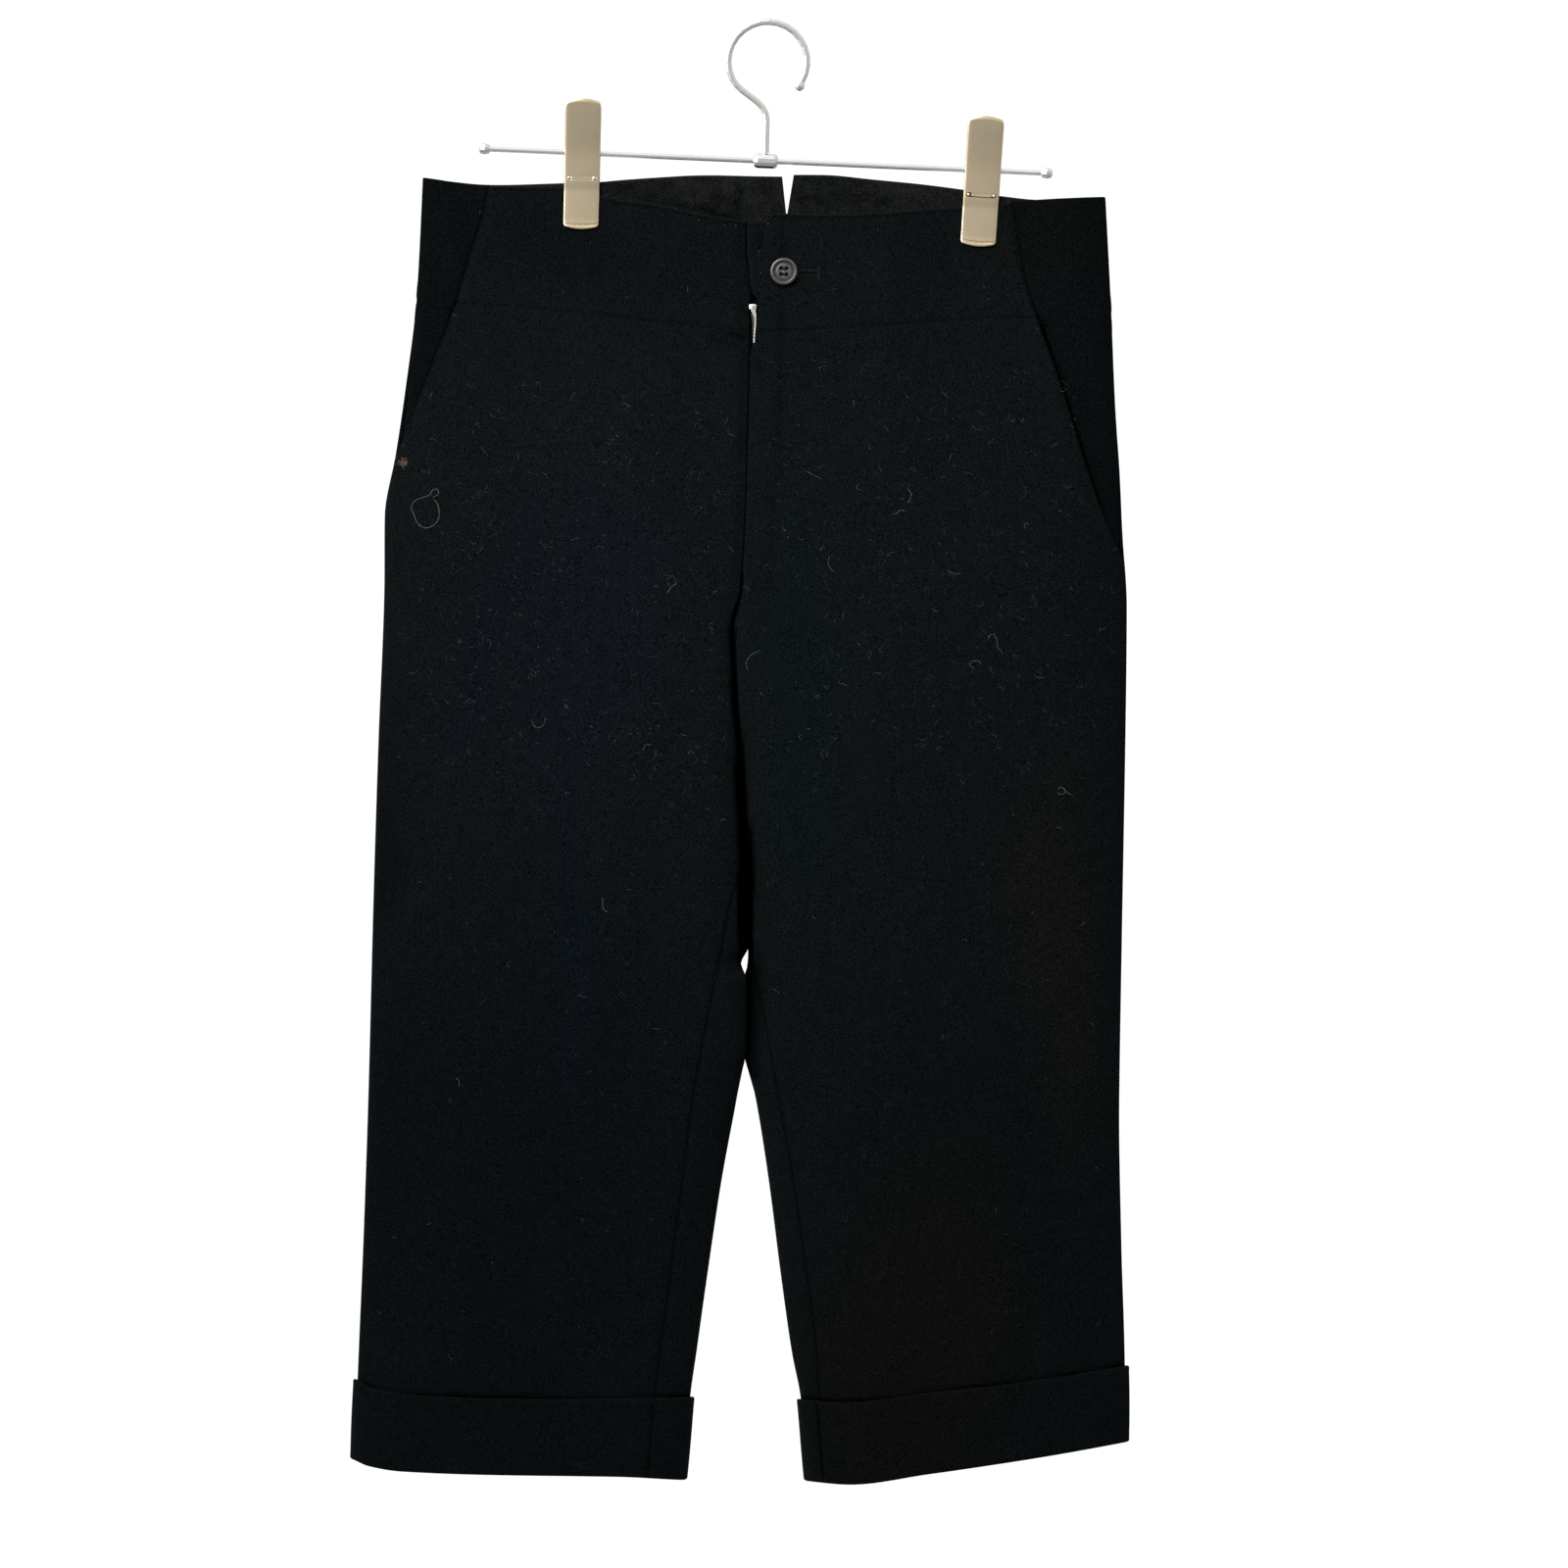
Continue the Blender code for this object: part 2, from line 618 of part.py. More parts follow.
def side_panel(side):
    """The side piece: up to the waist beside the band, and behind the pocket's mouth lower down."""
    sheet = Sheet(PANEL_WALL)
    name = SIDE_NAMES[side]
    junction = front_seam_z(SLANT(name, BAND_JUNCTION_Z))
    mouth_top = junction - 5.0
    mouth_length = mouth_top - POCKET_END[side] + 6.0
    top = WAIST_TOP[side]
    waist = top("front", side * outer_x(side, BAND_MIDDLE_Z))
    heights = [waist, -108.0, -128.0, -146.0, junction - 1.0, mouth_top]
    heights += [mouth_top - mouth_length * i / 6 for i in range(1, 7)]
    shares = [0.0, 0.16, 0.34, 0.55, 0.75, 0.9, 1.0]
    rows = []
    for row, level in enumerate(heights):
        keys = []
        for i, share in enumerate(shares):
            z = level
            for _ in range(4):
                mouth = SLANT(name, z) + SEAM_GAP / 2
                under = POCKET_UNDER if z < mouth_top + 1.0 else 0.0
                start = around_at(side, True, side * (mouth - under), z)
                end = 1.0 - SIDE_SEAM_STEP
                around = start + (end - start) * share
                if row == 0:
                    z = top("front", side * cloth_point(side, around, z).x)
            x = cloth_point(side, around, z).x
            beyond = side * x - mouth
            drop = UNDER_DROP * smooth_step((junction + 14.0 - z) / 14.0)
            rise = -drop * (1.0 - smooth_step((beyond - 3.0) / POCKET_FADE))
            place, normal = lift(side, around, z, rise)
            keys.append(sheet.point((row, i), place, normal))
        rows.append(keys)
    sheet.grid(rows)
    return sheet.build("side_panel_" + name, "wool")


def cuff(side):
    """Turned-up cuff: a wall outside the leg that rolls under its end."""
    around_steps = 40
    outer = CUFF_GAP + CUFF_WALL
    inner = -PANEL_WALL
    mesh = bmesh.new()
    loops = []
    for i in range(around_steps):
        around = 2.0 * i / around_steps
        top = hem_z(side, around, "cuff")
        low = hem_z(side, around)
        profile = [(CUFF_GAP, top), (outer, top - 0.4), (outer, (top + low) / 2), (outer, low + 1.0),
                   (outer - 1.0, low), (inner + 0.8, low), (inner, low + 0.8), (inner, low + CUFF_ROLL),
                   (CUFF_GAP, low + CUFF_ROLL)]
        loop = []
        for rise, z in profile:
            normal = cloth_normal(side, around, z)
            flat = Vector((normal.x, normal.y, 0.0)).normalized()
            loop.append(mesh.verts.new((cloth_point(side, around, z) + flat * rise) * MM))
        loops.append(loop)
    bridge(mesh, loops, closed=True)
    return finish(mesh, "cuff_" + SIDE_NAMES[side], "wool")


def bridge(mesh, loops, closed=False):
    """Faces between loops of points; open stacks are capped at both ends."""
    pairs = list(zip(loops, loops[1:]))
    if closed:
        pairs.append((loops[-1], loops[0]))
    for near, far in pairs:
        for i in range(len(near)):
            j = (i + 1) % len(near)
            mesh.faces.new([near[i], near[j], far[j], far[i]])
    if not closed:
        mesh.faces.new(list(reversed(loops[0])))
        mesh.faces.new(loops[-1])


def front_y(x, z):
    """The left front's outer face at a place near the fly."""
    return -cloth_depth(LEFT, True, x, z)


def fly_zip():
    """Closed zip behind the lap: two tapes as one strip with the raised chain along it."""
    top = HINGE_Z + 4.5
    rows = 22
    face, back = TAPE_DEPTHS
    mesh = bmesh.new()
    loops = []
    for i in range(rows + 1):
        z = top + (FLY_END_Z - top) * i / rows
        centre = FLY("zip", z)
        below_slider = z < HINGE_Z - 4.0
        chain = CHAIN_HALF if below_slider else CHAIN_HALF - 0.9
        height = CHAIN_DEPTH if below_slider else face - 0.4
        section = [(-TAPE_HALF, face), (-chain, face), (-chain, height), (chain, height),
                   (chain, face), (TAPE_HALF, face), (TAPE_HALF, back), (-TAPE_HALF, back)]
        depth = max(cloth_depth(LEFT, True, x, z) for x in (-TAPE_HALF / 2, 0.0, TAPE_HALF / 2))
        loops.append([mesh.verts.new(Vector((centre + across, -depth + behind, z)) * MM)
                      for across, behind in section])
    bridge(mesh, loops)
    return finish(mesh, "fly_zip", "tape")


def prism(mesh, outline, axis, start, end):
    """A plane outline swept straight along an axis, 0 for X and 1 for Y, given in millimetres."""
    loops = []
    for along in (start, end):
        loop = []
        for first, second in outline:
            place = (along, first, second) if axis == 0 else (first, along, second)
            loop.append(mesh.verts.new(Vector(place) * MM))
        loops.append(loop)
    bridge(mesh, loops)


def combine(item, other, operation):
    """One exact Boolean of two objects, applied, with the second one removed."""
    step = item.modifiers.new("cut", "BOOLEAN")
    step.operation = operation
    step.solver = "EXACT"
    step.object = other
    shape = bpy.data.meshes.new_from_object(item.evaluated_get(bpy.context.evaluated_depsgraph_get()))
    item.modifiers.clear()
    item.data = shape
    bpy.data.objects.remove(other)


def zip_slider():
    """Slider body, wider at its top, with an arch on its face that the pull's bar turns in."""
    face = front_y(SLIDER_X, HINGE_Z) - 0.1
    axis_y = face - HINGE_OUT
    body = bmesh.new()
    outline = [(-2.3, 1.7), (-1.9, 2.1), (1.9, 2.1), (2.3, 1.7), (2.1, -1.0), (1.6, -3.2), (1.2, -3.5),
               (-1.2, -3.5), (-1.6, -3.2), (-2.1, -1.0)]
    prism(body, [(SLIDER_X + x, HINGE_Z + z) for x, z in outline], 1, face, face + 2.2)
    item = finish(body, "zip_slider", "nickel")
    arch = bmesh.new()
    outline = []
    for radius, angles in ((1.5, range(-90, 91, 30)), (0.8, range(90, -91, -30))):
        turn = [(axis_y - radius * math.cos(math.radians(a)), HINGE_Z + radius * math.sin(math.radians(a)))
                for a in angles]
        ends = [(face + 0.3, turn[0][1]), (face + 0.3, turn[-1][1])]
        outline += [ends[0]] + turn + [ends[1]]
    prism(arch, outline, 0, SLIDER_X - 0.45, SLIDER_X + 0.45)
    combine(item, finish(arch, "arch", "nickel"), "UNION")
    return item


def zip_pull():
    """Slim pull tab: a bar in the slider's arch, two rails beside it and a tapered blade."""
    axis = Vector((SLIDER_X, front_y(SLIDER_X, HINGE_Z) - 0.1 - HINGE_OUT, HINGE_Z))
    half_wall = 0.35
    blade = bmesh.new()
    outline = [(-1.25, 0.45), (1.25, 0.45), (1.25, -3.6), (1.0, -6.5), (1.0, -19.0),
               (0.65, -PULL_LENGTH + 0.4), (0.0, -PULL_LENGTH), (-0.65, -PULL_LENGTH + 0.4),
               (-1.0, -19.0), (-1.0, -6.5), (-1.25, -3.6)]
    prism(blade, outline, 1, -half_wall, half_wall)
    item = finish(blade, "zip_pull", "nickel")
    eye = bmesh.new()
    prism(eye, [(-0.75, -0.45), (0.75, -0.45), (0.75, -1.95), (0.4, -2.3), (-0.4, -2.3), (-0.75, -1.95)],
          1, -2.0, 2.0)
    combine(item, finish(eye, "eye", "nickel"), "DIFFERENCE")
    item.location = axis * MM
    return item


def waist_button():
    """Four-hole trouser button with a raised rim, flat on its back."""
    centre = Vector((BUTTON_X, front_y(BUTTON_X, BUTTON_Z) - 0.5, BUTTON_Z))
    profile = [(0.0, 0.0), (6.6, 0.0), (7.5, 0.9), (7.6, 1.8), (7.1, 2.9), (6.4, 3.2), (5.6, 2.9), (4.9, 2.2),
               (4.2, 1.95), (0.0, 1.8)]
    sides = 28
    mesh = bmesh.new()
    rings = []
    for radius, out in profile[1:-1]:
        rings.append([mesh.verts.new(Vector((radius * math.cos(a), -out, radius * math.sin(a))) * MM)
                      for a in (2 * math.pi * i / sides for i in range(sides))])
    bridge(mesh, rings)
    item = finish(mesh, "waist_button", "horn")
    for x, z in ((-1.3, -1.3), (1.3, -1.3), (1.3, 1.3), (-1.3, 1.3)):
        hole = bmesh.new()
        outline = [(x + 0.85 * math.cos(a), z + 0.85 * math.sin(a)) for a in
                   (2 * math.pi * i / 8 for i in range(8))]
        prism(hole, outline, 1, -4.0, 1.0)
        combine(item, finish(hole, "hole", "horn"), "DIFFERENCE")
    item.location = centre * MM
    return item


# One leaf of a clip, from its tail to its jaw: height over the rod, distance of the inner face from the
# middle, half width and how deep the side flanges turn in.
LEAF = Table(
    "z inner half flange",
    (-40.8, 3.5, 9.0, 0.15), (-39.2, 3.0, 9.7, 0.15), (-37.2, 2.65, 9.9, 0.15), (-21.0, 2.65, 9.9, 0.15),
    (-17.0, 3.1, 9.9, 0.6), (-10.0, 3.6, 9.9, 1.2), (0.0, 4.4, 9.9, 2.0), (12.0, 6.2, 9.9, 2.6),
    (24.0, 8.2, 9.9, 2.4), (27.0, 8.7, 9.5, 1.2), (28.2, 8.9, 8.7, 0.4))
LEAF_HEIGHTS = [-40.8, -39.2, -37.2, -30.0, -21.0, -17.0, -10.0, 0.0, 12.0, 24.0, 27.0, 28.2]
SLOT_Z = -13.9
SLOT_HALF = 8.3


def clip_place(side):
    """From a clip's own frame, centred on the rod, to the part's frame."""
    x = CLIP_X[side]
    turn = Matrix.Rotation(math.radians(CLIP_TILT[side]), 4, "Y")
    return Matrix.Translation(Vector((x, 0.0, ROD_Z + ROD_SLOPE * x)) * MM) @ turn


def clip_leaf(side, facing):
    """Pressed metal leaf, crowned at both ends, with turned-in sides and a slot for the spring."""
    mesh = bmesh.new()
    loops = []
    for z in LEAF_HEIGHTS:
        inner, half, flange = LEAF("inner", z), LEAF("half", z), LEAF("flange", z)
        lip = 0.9
        section = [(-half, inner - flange), (-half, inner + 0.5), (-half + 0.5, inner + LEAF_WALL - 0.05),
                   (-half * 0.5, inner + LEAF_WALL + 0.25), (half * 0.5, inner + LEAF_WALL + 0.25),
                   (half - 0.5, inner + LEAF_WALL - 0.05), (half, inner + 0.5), (half, inner - flange),
                   (half - lip, inner - flange), (half - lip, inner), (-half + lip, inner),
                   (-half + lip, inner - flange)]
        crown = 1.6 * smooth_step((z - 20.0) / 9.0) - 1.6 * smooth_step((-36.0 - z) / 6.0)
        loops.append([mesh.verts.new(Vector((x, facing * y, z + crown * (1 - (x / half) ** 2))) * MM)
                      for x, y in section])
    bridge(mesh, loops)
    face = "front" if facing < 0 else "back"
    item = finish(mesh, "clip_" + SIDE_NAMES[side] + "_" + face, "nickel")
    cutter = bmesh.new()
    prism(cutter, [(-SLOT_HALF, SLOT_Z - 1.2), (SLOT_HALF, SLOT_Z - 1.2), (SLOT_HALF, SLOT_Z + 1.2),
                   (-SLOT_HALF, SLOT_Z + 1.2)], 1, facing * 2.0, facing * 9.0)
    combine(item, finish(cutter, "slot", "nickel"), "DIFFERENCE")
    item.matrix_world = clip_place(side)
    return item


def clip_spring(side):
    """Flat spring bent over the rod; its ends turn out into the leaves' slots."""
    inner, outer = ROD_RADIUS + SEAM_GAP, ROD_RADIUS + SEAM_GAP + 0.7
    slot_face = LEAF("inner", SLOT_Z)
    nub_out = slot_face + 1.2
    leg_inner = PINCHED_DEPTH + SEAM_GAP + 0.05
    leg_outer = slot_face - 0.25
    half = [(outer, 0.0), (leg_outer, -9.0), (leg_outer, SLOT_Z + 0.8), (nub_out, SLOT_Z + 0.8),
            (nub_out, SLOT_Z - 0.8), (leg_inner, SLOT_Z - 0.8), (leg_inner, -9.0), (inner, 0.0)]
    arc_out = [(outer * math.cos(a), outer * math.sin(a)) for a in (math.pi * i / 8 for i in range(1, 8))]
    arc_in = [(inner * math.cos(a), inner * math.sin(a)) for a in (math.pi * i / 8 for i in range(7, 0, -1))]
    outline = half[::-1] + arc_out + [(-y, z) for y, z in half] + arc_in
    mesh = bmesh.new()
    prism(mesh, outline, 0, -5.6, 5.6)
    item = finish(mesh, "clip_" + SIDE_NAMES[side] + "_spring", "nickel")
    item.matrix_world = clip_place(side)
    return item


def hanger_rod():
    """Straight rod with small end stops and a boss under the hook."""
    half = ROD_HALF
    boss = [(-7.0, ROD_RADIUS), (-6.0, 3.6), (-4.5, BOSS_RADIUS), (4.5, BOSS_RADIUS), (6.0, 3.6),
            (7.0, ROD_RADIUS)]
    stop = [(-3.0, ROD_RADIUS), (-2.4, 2.6), (0.0, 3.2), (2.4, 2.6), (3.2, 1.2)]
    profile = [(-half - x, radius) for x, radius in reversed(stop)] + boss
    profile += [(half + x, radius) for x, radius in stop]
    sides = 12
    mesh = bmesh.new()
    loops = []
    for x, radius in profile:
        loops.append([mesh.verts.new(Vector((x, radius * math.cos(a), radius * math.sin(a))) * MM)
                      for a in (2 * math.pi * (i + 0.5) / sides for i in range(sides))])
    bridge(mesh, loops)
    item = finish(mesh, "hanger_rod", "chrome")
    item.location = Vector((0.0, 0.0, ROD_Z)) * MM
    item.rotation_euler = (0.0, math.atan(-ROD_SLOPE), 0.0)
    return item


def hook_path():
    """Centre line of the hook's wire: up from the boss, out to one side and round over the top."""
    centre = Vector((0.0, -HOOK_RADIUS + HOOK_WIRE))
    foot = ROD_Z + BOSS_RADIUS + SEAM_GAP
    start = math.radians(HOOK_START)
    joined = centre + HOOK_RADIUS * Vector((math.cos(start), math.sin(start)))
    neck_top = Vector((0.0, NECK_TOP_Z))
    points = [Vector((0.0, foot)), Vector((0.0, foot + NECK_HEIGHT))]
    leave = 31.0 * Vector((0.0, 1.0))
    arrive = 30.0 * Vector((-math.sin(start), math.cos(start)))
    bend_steps = 8
    for i in range(bend_steps + 1):
        t = i / bend_steps
        points.append(neck_top * (1 + 2 * t) * (1 - t) ** 2 + leave * t * (1 - t) ** 2
                      + joined * t * t * (3 - 2 * t) + arrive * t * t * (1 - t))
    turn_steps = 18
    for i in range(1, turn_steps + 1):
        angle = start - math.radians(HOOK_TURN) * i / turn_steps
        points.append(centre + HOOK_RADIUS * Vector((math.cos(angle), math.sin(angle))))
    return points


def hanger_hook():
    """Open wire hook with a small ball on its end."""
    points = hook_path()
    radii = [HOOK_WIRE] * len(points)
    onward = (points[-1] - points[-2]).normalized()
    for radius in (2.4, 2.8, 2.4, 1.3):
        points.append(points[-1] + onward * 1.3)
        radii.append(radius)
    sides = 10
    mesh = bmesh.new()
    loops = []
    for i, (place, radius) in enumerate(zip(points, radii)):
        ahead = points[min(i + 1, len(points) - 1)] - points[max(i - 1, 0)]
        ahead.normalize()
        across = Vector((-ahead.y, ahead.x))
        loop = []
        for k in range(sides):
            angle = 2 * math.pi * k / sides
            flat = place + across * radius * math.cos(angle)
            loop.append(mesh.verts.new(Vector((flat.x, radius * math.sin(angle), flat.y)) * MM))
        loops.append(loop)
    bridge(mesh, loops)
    return finish(mesh, "hanger_hook", "chrome")


def build():
    for item in list(bpy.data.objects):
        bpy.data.objects.remove(item)
    for side in (LEFT, RIGHT):
        front_band(side)
        front_panel(side)
        side_panel(side)
        back_band(side)
        back_panel(side)
        cuff(side)
        clip_leaf(side, -1)
        clip_leaf(side, 1)
        clip_spring(side)
    fly_zip()
    zip_slider()
    zip_pull()
    waist_button()
    hanger_rod()
    hanger_hook()


build()
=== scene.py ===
"""Cropped wool trousers hung flat by the waist from two metal clips: the looks, built round the frame.

Every cloth piece is a thin shell on its solid's own surface, which is worked out again here from the
same tables, only finer, with rolled edges, seam ditches, creases and a weave. Left and right are the
wearer's, so the wearer's left is +X. The front faces -Y. The origin is inside the top of the hook.

Tables and sizes are in millimetres; the meshes are in metres.
"""
import math
import random

import bmesh
import bpy
import numpy as np
from mathutils import Matrix, Vector


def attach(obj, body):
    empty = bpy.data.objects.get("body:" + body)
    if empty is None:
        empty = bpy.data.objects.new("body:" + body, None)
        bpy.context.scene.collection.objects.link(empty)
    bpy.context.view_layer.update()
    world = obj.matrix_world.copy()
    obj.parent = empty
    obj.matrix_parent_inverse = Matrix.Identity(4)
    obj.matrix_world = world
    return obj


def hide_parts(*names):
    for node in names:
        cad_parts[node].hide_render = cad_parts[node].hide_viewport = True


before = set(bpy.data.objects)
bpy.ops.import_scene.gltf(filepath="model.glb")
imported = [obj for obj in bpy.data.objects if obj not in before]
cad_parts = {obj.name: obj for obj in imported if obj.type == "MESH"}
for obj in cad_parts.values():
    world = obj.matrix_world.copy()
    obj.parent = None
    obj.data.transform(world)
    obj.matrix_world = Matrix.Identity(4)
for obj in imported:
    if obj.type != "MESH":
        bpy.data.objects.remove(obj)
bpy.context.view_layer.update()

MM = 0.001
LEFT = 1
RIGHT = -1
SIDE_NAMES = {LEFT: "left", RIGHT: "right"}
BODY = "trousers"

# Cloth
PANEL_WALL = 1.6
BAND_WALL = 1.8
SEAM_GAP = 0.08
UNDER_DROP = 2.6
UNDER_FADE = 6.0
PINCHED_DEPTH = 2.2
PINCH_REACH = 56.0
PINCH_FADE = 43.0

# The fronts and the backs run on a little past the side fold, so that no light shows there.
SIDE_SEAM_LAP = 0.0012

# How many columns each piece's grid has, and how far apart the rows of the long pieces are
PANEL_COLUMNS = 74
BAND_COLUMNS = 92
ROW_STEP = 2.7

# Heights, measured down from the inside top of the hook
FORK_Z = -468.0
CROTCH_Z = -509.0
FLY_END_Z = -310.0
FLY_CLOSES_OVER = 16.0
FLY_CLOSES_BELOW = 20.0
BAND_MIDDLE_Z = -130.0
BAND_HEIGHT = 60.0
BAND_JUNCTION_Z = -157.0
WAIST_SIDE_Z = -90.0
FLY_UNDER_TOP_Z = -146.6

# The right waistband runs on under the lap: where its tab starts past the centre, and how far it reaches.
UNDERLAP_START = 1.0
UNDERLAP_REACH = 31.0

# The side piece runs on behind the pocket's mouth.
POCKET_UNDER = 12.0
POCKET_FADE = 22.0
POCKET_END = {RIGHT: -243.0, LEFT: -292.0}
# Painted black shade in the pocket's mouth: how far it reaches past the mouth's edge on each side, and the
# run over which it draws in at the pocket's end
MOUTH_SHADE = {RIGHT: 0.4, LEFT: 1.0}
MOUTH_TAPER = 34.0
# Painted shade over the whole of each side piece
SIDE_SHADE = {RIGHT: 0.34, LEFT: 0.25}

# Turned-up cuffs
CUFF_GAP = 0.4
CUFF_WALL = 2.0
CUFF_ROLL = 1.8
CUFF_STEPS = 260
CUFF_BELLY = 0.25
CUFF_FOLD = 1.6
CUFF_CLOTH_RUN = 200.0
CUFF_SIDE_RUN = 62.0

# Hanger
ROD_Z = -74.9
ROD_SLOPE = -0.0225
CLIP_X = {RIGHT: -101.0, LEFT: 119.8}
CLIP_TILT = {RIGHT: 0.0, LEFT: 2.7}

# Fastenings
BUTTON_X = 11.4
BUTTON_Z = -136.1
SLIDER_X = -5.0
HINGE_Z = -155.5
TAPE_HALF = 12.0
TAPE_DEPTHS = (5.0, 5.8)


class Table:
    """Rows of sizes with named columns, read smoothly between the rows by the first column."""

    def __init__(self, names, *rows):
        columns = list(zip(*sorted(rows)))
        self.key = np.array(columns[0], float)
        self.values = {}
        for name, column in zip(names.split()[1:], columns[1:]):
            column = np.array(column, float)
            self.values[name] = (column, self.slopes(column))

    def slopes(self, column):
        """Slopes at the rows that never overshoot them."""
        step = np.diff(self.key)
        rise = np.diff(column) / step
        slope = np.zeros(len(column))
        for i in range(1, len(column) - 1):
            if rise[i - 1] * rise[i] > 0.0:
                before = 2.0 * step[i] + step[i - 1]
                after = step[i] + 2.0 * step[i - 1]
                slope[i] = (before + after) / (before / rise[i - 1] + after / rise[i])
        slope[0] = rise[0]
        slope[-1] = rise[-1]
        return slope

    def __call__(self, name, at):
        at = np.clip(at, self.key[0], self.key[-1])
        i = np.minimum(np.searchsorted(self.key, at, side="right") - 1, len(self.key) - 2)
        step = self.key[i + 1] - self.key[i]
        t = (at - self.key[i]) / step
        column, slope = self.values[name]
        start = column[i] * (1 + 2 * t) * (1 - t) ** 2 + slope[i] * step * t * (1 - t) ** 2
        end = column[i + 1] * t * t * (3 - 2 * t) - slope[i + 1] * step * t * t * (1 - t)
        return start + end


# The outline from the front: the side folds, and below the crotch the legs' inner edges.
OUTLINE = Table(
    "z right left",
    (-85, 188.8, 187.4), (-150, 190.7, 192.1), (-206, 196.2, 195.6), (-242, 200.8, 198.8),
    (-275, 205.9, 201.0), (-317, 205.3, 204.3), (-400, 206.8, 205.1), (-500, 207.8, 205.4),
    (-585, 208.2, 205.8), (-666, 209.2, 208.6), (-733, 210.6, 211.9), (-805, 212.0, 213.5))
INNER = Table(
    "z right left",
    (-509, -0.44, -0.36), (-512.5, -2.2, -0.3), (-516.7, -4.3, -0.5), (-520, -3.4, -0.9),
    (-523.5, -2.1, -2.0), (-530, -1.8, -1.4), (-566, -1.4, -0.9),
    (-591, -5.0, 5.2), (-635, -12.2, 13.2), (-689, -19.2, 21.3), (-731, -24.2, 28.2),
    (-756, -27.2, 33.6), (-805, -30.5, 39.0))

# The centre seams: the front one is the fly's lap edge and then the crotch seam.
CENTRE = Table(
    "z front back",
    (-80, -9.5, 12.4), (-124, -9.3, 12.0), (-133, -8.3, 11.8), (-143, -7.1, 11.6), (-151, -6.4, 11.5),
    (-175, -6.2, 11.0), (-240, -6.4, 9.4),
    (-310, -8.2, 7.2), (-320, -10.3, 6.8), (-332, -12.8, 6.3), (-364, -10.8, 5.0), (-397, -7.5, 3.6),
    (-456, -3.0, 1.0), (-509, -0.4, -0.4))

# Depth of the flattened tube from its middle plane, near the centre and near the side fold, with the
# run over which the side fold closes and how firmly the clips' pinch still holds.
DEPTH = Table(
    "z front_mid front_side back_mid back_side run pinch",
    (-80, 11.5, 7.0, 8.5, 6.5, 14, 1.0), (-124, 14.0, 8.0, 10.0, 7.5, 18, 1.0),
    (-150, 15.2, 9.4, 12.0, 8.6, 24, 0.72), (-180, 15.6, 12.0, 14.0, 11.0, 34, 0.42),
    (-230, 18.5, 15.0, 17.5, 14.0, 50, 0.16), (-300, 21.0, 18.0, 20.0, 17.0, 68, 0.0),
    (-420, 22.0, 19.5, 22.0, 18.5, 78, 0.0), (-509, 20.0, 19.0, 21.0, 18.5, 78, 0.0),
    (-620, 17.5, 17.0, 18.0, 17.0, 66, 0.0), (-740, 15.0, 15.0, 15.0, 15.0, 54, 0.0),
    (-805, 14.0, 14.5, 14.0, 14.5, 50, 0.0))

# The valleys where the centre seams draw in between the legs: share of the depth, and half width.
VALLEY = Table(
    "z front front_run back back_run",
    (-320, 0.0, 9, 0.0, 20), (-334, 0.30, 9, 0.0, 20), (-364, 0.42, 12, 0.0, 20),
    (-400, 0.55, 16, 0.08, 20), (-440, 0.66, 21, 0.30, 24), (-470, 0.76, 26, 0.52, 30),
    (-497, 0.89, 33, 0.82, 36), (-509, 1.0, 38, 1.0, 40), (-600, 1.0, 56, 1.0, 56),
    (-805, 1.0, 50, 1.0, 50))

# Painted black shade in the hollow of that valley on the front: how far it reaches to each side of the centre
# seam.
HOLLOW = Table(
    "z right left",
    (-300, 0.0, 0.0), (-322, 0.6, 0.6), (-336, 1.6, 1.2), (-380, 2.2, 1.4), (-430, 4.0, 2.4),
    (-470, 5.0, 4.0), (-505, 5.7, 2.7), (-516, 1.8, 2.8), (-524, 0.0, 3.8), (-530, 0.0, 3.8),
    (-566, 0.0, 2.4), (-580, 0.0, 0.0))
HOLLOW_SOFT = 0.8
HOLLOW_DARK = 0.985
HOLLOW_SHADOW = 9.0
HOLLOW_SHADOW_DARK = 0.7
HOLLOW_SHADOW_TOP_Z = -500.0
HOLLOW_SHADOW_FADE = 24.0

# Where the inside-leg seam shows on the front of each leg: its distance from the centre plane.
INSEAM = Table(
    "z right left",
    (-468, 3.2, -1.8), (-472, 6.2, -1.55), (-478, 8.8, -1.15), (-487, 11.3, -0.6), (-500, 13.3, 0.2),
    (-517, 16.2, 2.2), (-532, 19.2, 6.4), (-560, 24.0, 12.2),
    (-585, 28.0, 17.0), (-639, 34.0, 27.6), (-690, 39.4, 36.0), (-732, 44.2, 42.2), (-805, 52.2, 47.4))

# Where the legs touch below the crotch: the right one lies in front of the left one there.
TOUCH = Table("z in_front", (-522, 0.0), (-527, 1.0), (-566, 1.0), (-576, 0.0))
TOUCH_ACROSS = 0.75
TOUCH_DEPTH = 2.8
TOUCH_RUN = 12.0

# The slanted line: a seam beside the waistband, then the pocket's mouth down to the side fold.
SLANT = Table(
    "z right left",
    (-88, 150.8, 135.3), (-109, 155.5, 138.9), (-133, 162.7, 143.1), (-157, 168.8, 150.6),
    (-183, 178.8, 160.7), (-209, 188.0, 169.9), (-234, 197.2, 178.3), (-243, 200.9, 181.5),
    (-260, 204.0, 187.9), (-292, 206.0, 202.3))

